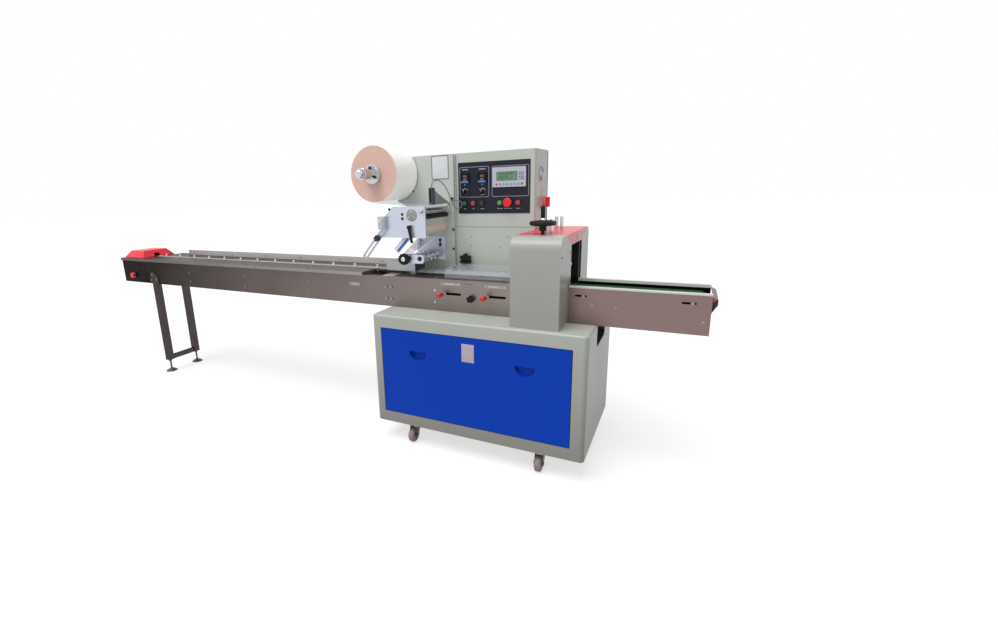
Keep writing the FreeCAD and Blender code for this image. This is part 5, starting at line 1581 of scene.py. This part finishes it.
    def bars(self, kit: Kit) -> None:
        """The slotted white and blue bars that steer the film down to the former."""
        low, high = corners("film_unit_plate")
        seal_low, _ = corners("centre_seal_unit")
        head = Vector((high.x - 0.104, 0.0, low.z + 0.006))
        foot = Vector((seal_low.x + 0.010, 0.0, seal_low.z + 0.070))
        run = (foot - head).normalized()
        side = Vector((run.z, 0.0, -run.x))
        front = low.y + 0.010
        for name, offset, half, depth, finish in (("steering_bar", 0.0, 0.0165, 0.004, "white_plastic"),
                                                  ("steering_bar_blue", -0.0075, 0.0056, 0.0052, "blue_trim")):
            inset = 0.0 if name == "steering_bar" else 0.008
            first, last = head + run * inset, foot - run * inset
            outline = [first + side * (offset - half), last + side * (offset - half), last + side * (offset + half),
                       first + side * (offset + half)]
            rows = [(point.x, front - depth + 0.004, point.z) for point in outline]
            Form().sheet(rows, (0, depth, 0)).piece(name, kit.finishes[finish], "white_plastic")

    def sensor(self, kit: Kit) -> None:
        """The dark face of the registration sensor, and the collar of the top roller."""
        low, high = corners("photo_sensor")
        Form().block((low.x + 0.0035, low.y + 0.0032, low.z + 0.010), (high.x - 0.0035, low.y + 0.0042, high.z - 0.004),
                     0.0002).piece(
            "sensor_face", kit.finishes["black_plastic"], "black_plastic")
        roller_low, roller_high = corners("top_idler")
        wall = corners("reel_plate")[0].y
        x, z = (roller_low.x + roller_high.x) / 2, (roller_low.z + roller_high.z) / 2
        Form().band((x, wall - 0.0035, z), Axis.Y, 0.0138, 0.0195, 0.014).piece(
            "roller_collar", kit.finishes["white_plastic"], "white_plastic")


@dataclass
class Apron:
    """The stainless apron with its slides, scales, lock knob and clear cover."""

    strips: tuple[float, float] = (0.273, 0.500)
    strip_size: tuple[float, float] = (0.101, 0.011)
    strip_drop: float = 0.028

    def build(self, kit: Kit) -> None:
        """Dresses the apron and adds its small parts."""
        lever = corners("left_lever")
        kit.finishes.add(SlideLever("slide_lever", lever[0].y + 0.0402))
        dress(kit, {"stainless": ["apron"], "slide_lever": ["left_lever", "right_lever"],
                    "black_plastic": ["star_knob"], "clear_acrylic": ["clear_cover"]})
        self.scales(kit)
        self.slots(kit)
        self.film_tube(kit)
        self.screws(kit)

    def scales(self, kit: Kit) -> None:
        """Two bare scale strips with setting marks."""
        low, high = corners("apron")
        strips, marks = Form(), Form()
        for left in self.strips:
            x, z = low.x + left, high.z - self.strip_drop
            strips.block((x, low.y - 0.0006, z), (x + self.strip_size[0], low.y, z + self.strip_size[1]), 0.0002)
            for share in (0.07, 0.14, 0.74, 0.86):
                cx = x + share * self.strip_size[0]
                marks.block((cx - 0.0015, low.y - 0.0009, z + 0.0025), (cx + 0.0015, low.y - 0.0005, z + 0.0085))
        for cx in (0.400, 0.415, 0.432):
            marks.block((low.x + cx - 0.0025, low.y - 0.0004, high.z - 0.019),
                        (low.x + cx + 0.0025, low.y, high.z - 0.015))
        strips.piece("scale_strips", kit.finishes["pale_strip"], "machined_aluminium")
        marks.piece("scale_marks", kit.finishes["dark_void"], "black_plastic")

    def slots(self, kit: Kit) -> None:
        """A dark sheet behind the two slots: painted shade of the apron's inside."""
        low, _ = corners("apron")
        back = Form()
        for side in ("left", "right"):
            lever_low, lever_high = corners(f"{side}_lever")
            middle = (lever_low.x + lever_high.x) / 2 + 0.042
            # Painted shade: a dark sheet behind each slot.
            back.block((middle - 0.056, low.y + 0.0142, low.z + 0.070), (middle + 0.056, low.y + 0.0154, low.z + 0.108))
        back.piece("slot_shade", kit.finishes["dark_void"], "black_plastic")

    def film_tube(self, kit: Kit) -> None:
        """The flat tube of film that lies along the deck from the seal rollers to the end sealer."""
        _, high = corners("apron")
        _, former = corners("forming_box")
        sealer, _ = corners("sealer_covers")
        path = (corners("clear_cover")[0].y + corners("clear_cover")[1].y) / 2
        steps = 44
        rows = []
        start, end = former.x + 0.004, sealer.x - 0.003
        for index in range(steps + 1):
            x = start + (end - start) * index / steps
            swell = 0.007 + 0.003 * math.sin(index * 1.7) + 0.0015 * math.sin(index * 4.1)
            rows.append([(x, path + 0.052 * math.cos(turn * math.pi / 4),
                          high.z + 0.0125 + swell * math.sin(turn * math.pi / 4)) for turn in range(8)])
        Form().skin(rows).piece("film_tube", kit.finishes["film"], "film")

    def screws(self, kit: Kit) -> None:
        """The apron's screws, the deck's screws and the star knob's cap."""
        low, high = corners("apron")
        points = [(low.x + 0.238, low.y, low.z + z) for z in (0.102, 0.042)]
        kit.sockets.place("apron_screws", points, (0, -1, 0), 0.0045, 0.004, kit.finishes["bright_steel"],
                          "bright_steel")
        deck_screws = [(low.x + x, low.y + y, high.z) for x in (0.060, 0.240, 0.640) for y in (0.018, 0.218)]
        kit.sockets.place("deck_screws", deck_screws, (0, 0, 1), 0.0045, 0.003, kit.finishes["bright_steel"],
                          "bright_steel")
        star_low, star_high = corners("star_knob")
        Form().turned(((star_low.x + star_high.x) / 2, star_low.y + 0.0004, (star_low.z + star_high.z) / 2), Axis.Y,
                      ((0.006, 0.0), (0.006, 0.0009), (0.005, 0.0013)), 24).piece(
            "star_knob_cap", kit.finishes["black_plastic"], "black_plastic", "star_knob_body")


@dataclass
class Infeed:
    """The long infeed: side plates, table, fence, chain, end cover and stand."""

    bolt_radius: float = 0.0065

    def build(self, kit: Kit) -> None:
        """Dresses the infeed and adds its small parts."""
        dress(kit, {"fence_sheet": ["infeed_fence"], "stainless": ["infeed_side_plates"], "table_sheet": ["infeed_table"],
                    "leg_steel": ["infeed_stand"], "bright_steel": ["drive_rollers"],
                    "dark_foot": ["levelling_feet"], "red_enamel": ["infeed_end_cover"],
                    "chain_steel": ["infeed_chain"], "white_plastic": ["infeed_pushers"],
                    "red_plastic": ["infeed_stop_button"]})
        self.plate_bolts(kit)
        self.table(kit)
        self.end_cover(kit)
        self.stand(kit)

    def plate_bolts(self, kit: Kit) -> None:
        """Bolts through the side plates, the same on both sides, and the bare badge."""
        low, high = corners("infeed_side_plates")
        pairs = [(x, z) for x in (2.290, 2.320) for z in (0.041, 0.102)]
        singles = [(x, z) for x in (0.739, 1.255, 1.770) for z in (0.038, 0.098)]
        dark = [(0.235, 0.100), (0.235, 0.039)]
        for name, facing, face in (("front", (0, -1, 0), low.y), ("back", (0, 1, 0), high.y)):
            kit.sockets.place(f"plate_bolts_{name}", [(low.x + x, face, low.z + z) for x, z in pairs], facing,
                              self.bolt_radius, 0.006, kit.finishes["satin_screw"], "bright_steel")
            kit.sockets.place(f"plate_screws_{name}", [(low.x + x, face, low.z + z) for x, z in singles], facing,
                              0.0042, 0.003, kit.finishes["satin_screw"], "bright_steel")
            kit.sockets.place(f"end_screws_{name}", [(low.x + x, face, low.z + z) for x, z in dark], facing,
                              0.0045, 0.004, kit.finishes["dark_screw"], "chain_steel")
        Form().block((low.x + 2.056, low.y - 0.0006, low.z + 0.096), (low.x + 2.123, low.y, low.z + 0.113),
                     0.0003).piece("side_badge", kit.finishes["label_plate"], "machined_aluminium")
        kit.pans.place("badge_rivets", [(low.x + 2.062, low.y - 0.0006, low.z + 0.1045),
                                        (low.x + 2.117, low.y - 0.0006, low.z + 0.1045)], (0, -1, 0), 0.0018, 0.001,
                       kit.finishes["dark_screw"], "chain_steel")

    def table(self, kit: Kit) -> None:
        """The seam across the table, its countersunk screws and the fence's bolts."""
        low, high = corners("infeed_table")
        seam = low.x + 2.218 - 0.879 + 0.020
        Form().block((seam - 0.0008, low.y - 0.0003, high.z - 0.016), (seam + 0.0008, low.y + 0.133, high.z + 0.0002)).piece(
            "table_seam", kit.finishes["seam_dark"], "stainless")
        points = [(high.x - 0.030 - 0.060 * index, low.y + 0.118 + 0.056 * side, high.z)
                  for index in range(2) for side in (0, 1)]
        points += [(low.x + 0.300 + 0.480 * index, low.y + 0.030, high.z) for index in range(4)]
        kit.pans.place("table_screws", points, (0, 0, 1), 0.0042, 0.0016, kit.finishes["dark_screw"], "chain_steel")
        chain_low, chain_high = corners("infeed_chain")
        cover_high = corners("infeed_end_cover")[1]
        middle = (chain_low.y + chain_high.y) / 2
        guides = Form()
        for side in (-1, 1):
            inner, outer = sorted((middle + side * 0.0074, middle + side * 0.0125))
            guides.block((cover_high.x + 0.004, inner, high.z), (high.x - 0.020, outer, high.z + 0.0012), 0.0004)
        guides.piece("slot_guides", kit.finishes["white_plastic"], "white_plastic")
        side = corners("apron")[0]
        Form().block((high.x + 0.0006, side.y + 0.004, side.z + 0.1565), (side.x, middle - 0.020, side.z + 0.158),
                     0.0003).piece("transfer_plate", kit.finishes["fence_sheet"], "stainless")
        fence_low, _ = corners("infeed_fence")
        points = [(fence_low.x + 0.150 + 0.310 * index, fence_low.y, fence_low.z + 0.017) for index in range(6)]
        kit.sockets.place("fence_bolts", points, (0, -1, 0), 0.0045, 0.0035, kit.finishes["bright_steel"],
                          "bright_steel")

    def end_cover(self, kit: Kit) -> None:
        """The stop button's collar and the end cover's screws."""
        low, high = corners("infeed_stop_button")
        plate = corners("infeed_side_plates")[0].y
        x, z = (low.x + high.x) / 2, (low.z + high.z) / 2
        Form().band((x, plate, z), Axis.Y, 0.0118, 0.0165, 0.0028).piece(
            "infeed_stop_collar", kit.finishes["bright_steel"], "bright_steel")
        low, high = corners("infeed_end_cover")
        points = [(low.x + x, low.y, low.z + 0.012) for x in (0.030, 0.180)]
        kit.sockets.place("cover_screws_front", points, (0, -1, 0), 0.0045, 0.003, kit.finishes["dark_screw"],
                          "chain_steel")

    def stand(self, kit: Kit) -> None:
        """Bolts of the leg brackets, front and back."""
        plates, _ = corners("infeed_side_plates")
        low, high = corners("infeed_stand")
        points = [(plates.x + x, low.y, plates.z + z) for x, z in ((0.320, 0.025), (0.336, 0.067), (0.376, 0.031))]
        kit.sockets.place("bracket_bolts_front", points, (0, -1, 0), 0.0052, 0.004, kit.finishes["satin_screw"],
                          "bright_steel")
        points = [(x, high.y, z) for x, _, z in points]
        kit.sockets.place("bracket_bolts_back", points, (0, 1, 0), 0.006, 0.005, kit.finishes["bright_steel"],
                          "bright_steel")


@dataclass
class EndSealer:
    """The end sealer's covers, guard, posts and handwheel."""

    def build(self, kit: Kit) -> None:
        """Dresses the sealer and adds its small parts."""
        low, high = corners("sealer_covers")
        frame_low, frame_high = corners("jaw_frame")
        kit.finishes.add(JawFrame("jaw_look", high.z - 0.004))
        # Painted shade: a darker copy of the housing's paint, darker low down and on +X faces, near black on the
        # tunnel's inner walls.
        kit.finishes.add(Enamel("painted_cover", colour(180, 182, 175), 0.36, 0.04, 1.0, 0.5, colour(120, 116, 110), 0.16,
                                (low.x - 0.001, frame_low.y - 0.0006, low.z - 0.001),
                                (high.x + 0.001, frame_high.y + 0.0006, high.z + 0.001)))
        dress(kit, {"painted_cover": ["sealer_covers"], "guard_red": ["sealer_guard"],
                    "jaw_look": ["jaw_frame"], "black_plastic": ["handwheel"]})
        self.fittings(kit)

    def fittings(self, kit: Kit) -> None:
        """The covers' screws, a bolt of the jaw frame and the bare plate on the guard's end."""
        frame_low, frame_high = corners("jaw_frame")
        low, high = corners("sealer_covers")
        guard_low, guard_high = corners("sealer_guard")
        middle = (guard_low.y + guard_high.y) / 2
        points = [(high.x, y, z) for y in (low.y + 0.030, low.y + 0.190) for z in (low.z + 0.030, low.z + 0.300)]
        kit.sockets.place("sealer_screws", points, (1, 0, 0), 0.0042, 0.003, kit.finishes["satin_screw"],
                          "bright_steel")
        kit.hexagons.place("jaw_bolt", [(frame_high.x + 0.0001, frame_low.y + 0.012, frame_low.z + 0.090)],
                           (1, 0, 0), 0.0065, 0.005, kit.finishes["bright_steel"], "bright_steel")
        Form().block((guard_high.x, middle - 0.006, guard_low.z + 0.010),
                     (guard_high.x + 0.0008, middle + 0.006, guard_low.z + 0.040), 0.0003).piece(
            "guard_plate", kit.finishes["label_plate"], "machined_aluminium")
        wheel_low, wheel_high = corners("handwheel")
        x, y = (wheel_low.x + wheel_high.x) / 2, (wheel_low.y + wheel_high.y) / 2
        rim = Form()
        for turn in range(8):
            angle = turn * math.tau / 8
            rim.turned((x + 0.045 * math.cos(angle), y + 0.045 * math.sin(angle), wheel_low.z + 0.052), Axis.Z,
                       ((0.009, 0.0), (0.0105, 0.003), (0.0105, 0.013), (0.009, 0.016)), 16)
        rim.piece("handwheel_lobes", kit.finishes["black_plastic"], "black_plastic", "handwheel_body")
        Form().turned((x, y, wheel_low.z + 0.072), Axis.Z, ((0.010, 0.0), (0.010, 0.006), (0.008, 0.008)), 6).piece(
            "handwheel_nut", kit.finishes["bright_steel"], "bright_steel", "handwheel_body", 0.3)


@dataclass
class Outfeed:
    """The outfeed's plates, belt and nose."""

    def build(self, kit: Kit) -> None:
        """Dresses the outfeed and adds its small parts."""
        low, high = corners("outfeed_side_plates")
        kit.finishes.add(OutfeedSheet("outfeed_sheet", tuple(low), tuple(high)))
        dress(kit, {"outfeed_sheet": ["outfeed_side_plates"], "belt": ["outfeed_belt"],
                    "nose_brown": ["outfeed_nose"]})
        self.bolts(kit)

    def bolts(self, kit: Kit) -> None:
        """Belt tension bolts in their slots, frame bolts and the red plug in the nose."""
        low, high = corners("outfeed_side_plates")
        for name, facing, face in (("front", (0, -1, 0), low.y), ("back", (0, 1, 0), high.y)):
            points = [(low.x + x, face, low.z + 0.124) for x in (0.0605, 0.4675)]
            kit.hexagons.place(f"tension_bolts_{name}", points, facing, 0.0055, 0.005, kit.finishes["satin_screw"],
                               "bright_steel")
            points = [(low.x + x, face, low.z + z) for x, z in ((0.0985, 0.086), (0.1925, 0.087), (0.5085, 0.055))]
            kit.sockets.place(f"outfeed_screws_{name}", points, facing, 0.0048, 0.004,
                              kit.finishes["satin_screw"], "bright_steel")
        nose_low, _ = corners("outfeed_nose")
        Form().turned((nose_low.x + 0.006, nose_low.y, nose_low.z + 0.050), Axis.Y,
                      ((0.0045, 0.0), (0.0045, 0.002), (0.003, 0.003)), 24).piece(
            "nose_plug", kit.finishes["red_plastic"], "red_plastic")


@dataclass
class Studio:
    """Floor, lamps, world and camera."""

    place: Point = (1.7594, -2.1855, 1.2469)
    yaw: float = 0.4901
    pitch: float = -0.2422
    roll: float = -0.0349
    lens: float = 17.335
    shift: tuple[float, float] = (0.0668, -0.0088)
    fill: float = 0.52
    key: float = 1.85

    def build(self) -> None:
        """Makes the whole studio."""
        self.camera()
        self.world()
        self.lamps()
        self.floor()

    def camera(self) -> None:
        """The camera at the operator's outfeed corner, looking back along the machine."""
        data = bpy.data.cameras.new("view")
        data.sensor_width = 36.0
        data.lens = self.lens
        data.shift_x, data.shift_y = self.shift
        data.clip_start, data.clip_end = 0.05, 200.0
        obj = bpy.data.objects.new("view", data)
        bpy.context.scene.collection.objects.link(obj)
        ahead = Vector((-math.sin(self.yaw) * math.cos(self.pitch), math.cos(self.yaw) * math.cos(self.pitch),
                        math.sin(self.pitch)))
        level = Vector((math.cos(self.yaw), math.sin(self.yaw), 0.0))
        rise = level.cross(ahead)
        right = math.cos(self.roll) * level + math.sin(self.roll) * rise
        top = -math.sin(self.roll) * level + math.cos(self.roll) * rise
        turn = Matrix((right, top, -ahead)).transposed().to_4x4()
        obj.matrix_world = Matrix.Translation(Vector(self.place)) @ turn
        bpy.context.scene.camera = obj

    def world(self) -> None:
        """White to the eye and in reflections, a soft even fill on the machine."""
        world = bpy.data.worlds.new("studio")
        world.use_nodes = True
        tree = world.node_tree
        tree.nodes.clear()
        rays = tree.nodes.new("ShaderNodeLightPath").outputs
        seen = None
        for name in ("Is Camera Ray", "Is Glossy Ray", "Is Transmission Ray"):
            if seen is None:
                seen = rays[name]
                continue
            joined = tree.nodes.new("ShaderNodeMath")
            joined.operation, joined.use_clamp = "ADD", True
            tree.links.new(seen, joined.inputs[0])
            tree.links.new(rays[name], joined.inputs[1])
            seen = joined.outputs[0]
        shade = tree.nodes.new("ShaderNodeMix")
        shade.data_type = "RGBA"
        tree.links.new(seen, shade.inputs[0])
        shade.inputs[6].default_value = (self.fill, self.fill, self.fill * 1.02, 1)
        shade.inputs[7].default_value = (1, 1, 1, 1)
        background = tree.nodes.new("ShaderNodeBackground")
        tree.links.new(shade.outputs[2], background.inputs[0])
        output = tree.nodes.new("ShaderNodeOutputWorld")
        tree.links.new(background.outputs[0], output.inputs[0])
        bpy.context.scene.world = world

    def lamps(self) -> None:
        """One wide soft key from the operator's infeed side."""
        data = bpy.data.lights.new("key", "SUN")
        data.energy = self.key
        data.angle = math.radians(40)
        obj = bpy.data.objects.new("key", data)
        obj.rotation_mode = "QUATERNION"
        obj.rotation_quaternion = Vector((0.16, 0.40, -0.9)).to_track_quat("-Z", "Y")
        bpy.context.scene.collection.objects.link(obj)

    def floor(self) -> None:
        """A pale floor that keeps the machine's shadow."""
        mesh = bmesh.new()
        bmesh.ops.create_grid(mesh, x_segments=1, y_segments=1, size=40.0)
        data = bpy.data.meshes.new("floor")
        mesh.to_mesh(data)
        mesh.free()
        shader = Shader("pale_floor")
        clouds = shader.noise(0.6)
        shader.tree.nodes.remove(shader.surface)
        diffuse = shader.node("ShaderNodeBsdfDiffuse", {}, {0: shader.shade((0.42, 0.42, 0.42, 1), 0.97 + clouds * 0.05)})
        rays = shader.node("ShaderNodeLightPath").outputs
        seen = Value(shader, rays["Is Camera Ray"]) + Value(shader, rays["Is Glossy Ray"])
        seen = (seen + Value(shader, rays["Is Transmission Ray"])).clamped()
        glow = shader.node("ShaderNodeEmission", {}, {0: (1, 1, 1, 1), 1: seen * 0.66})
        both = shader.node("ShaderNodeAddShader", {}, {0: diffuse.outputs[0], 1: glow.outputs[0]})
        shader.tree.links.new(both.outputs[0], shader.output.inputs[0])
        data.materials.append(shader.material)
        obj = bpy.data.objects.new("floor", data)
        bpy.context.scene.collection.objects.link(obj)


def main() -> None:
    """Builds the studio and every sub-assembly in order."""
    logging.basicConfig(level=logging.INFO, format="%(name)s %(message)s")
    scene = bpy.context.scene
    scene.view_settings.view_transform = "Standard"
    FRAME.update(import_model())
    kit = Kit(Finishes(), Fasteners(Head.SOCKET), Fasteners(Head.HEXAGON), Fasteners(Head.PAN))
    Studio().build()
    for assembly in (BaseCabinet(), Housing(), OperatorPanel(), FilmReel(), FilmUnit(), Apron(), Infeed(),
                     EndSealer(), Outfeed()):
        assembly.build(kit)
        LOG.info("%s finished", type(assembly).__name__)


if __name__ == "__main__":
    main()
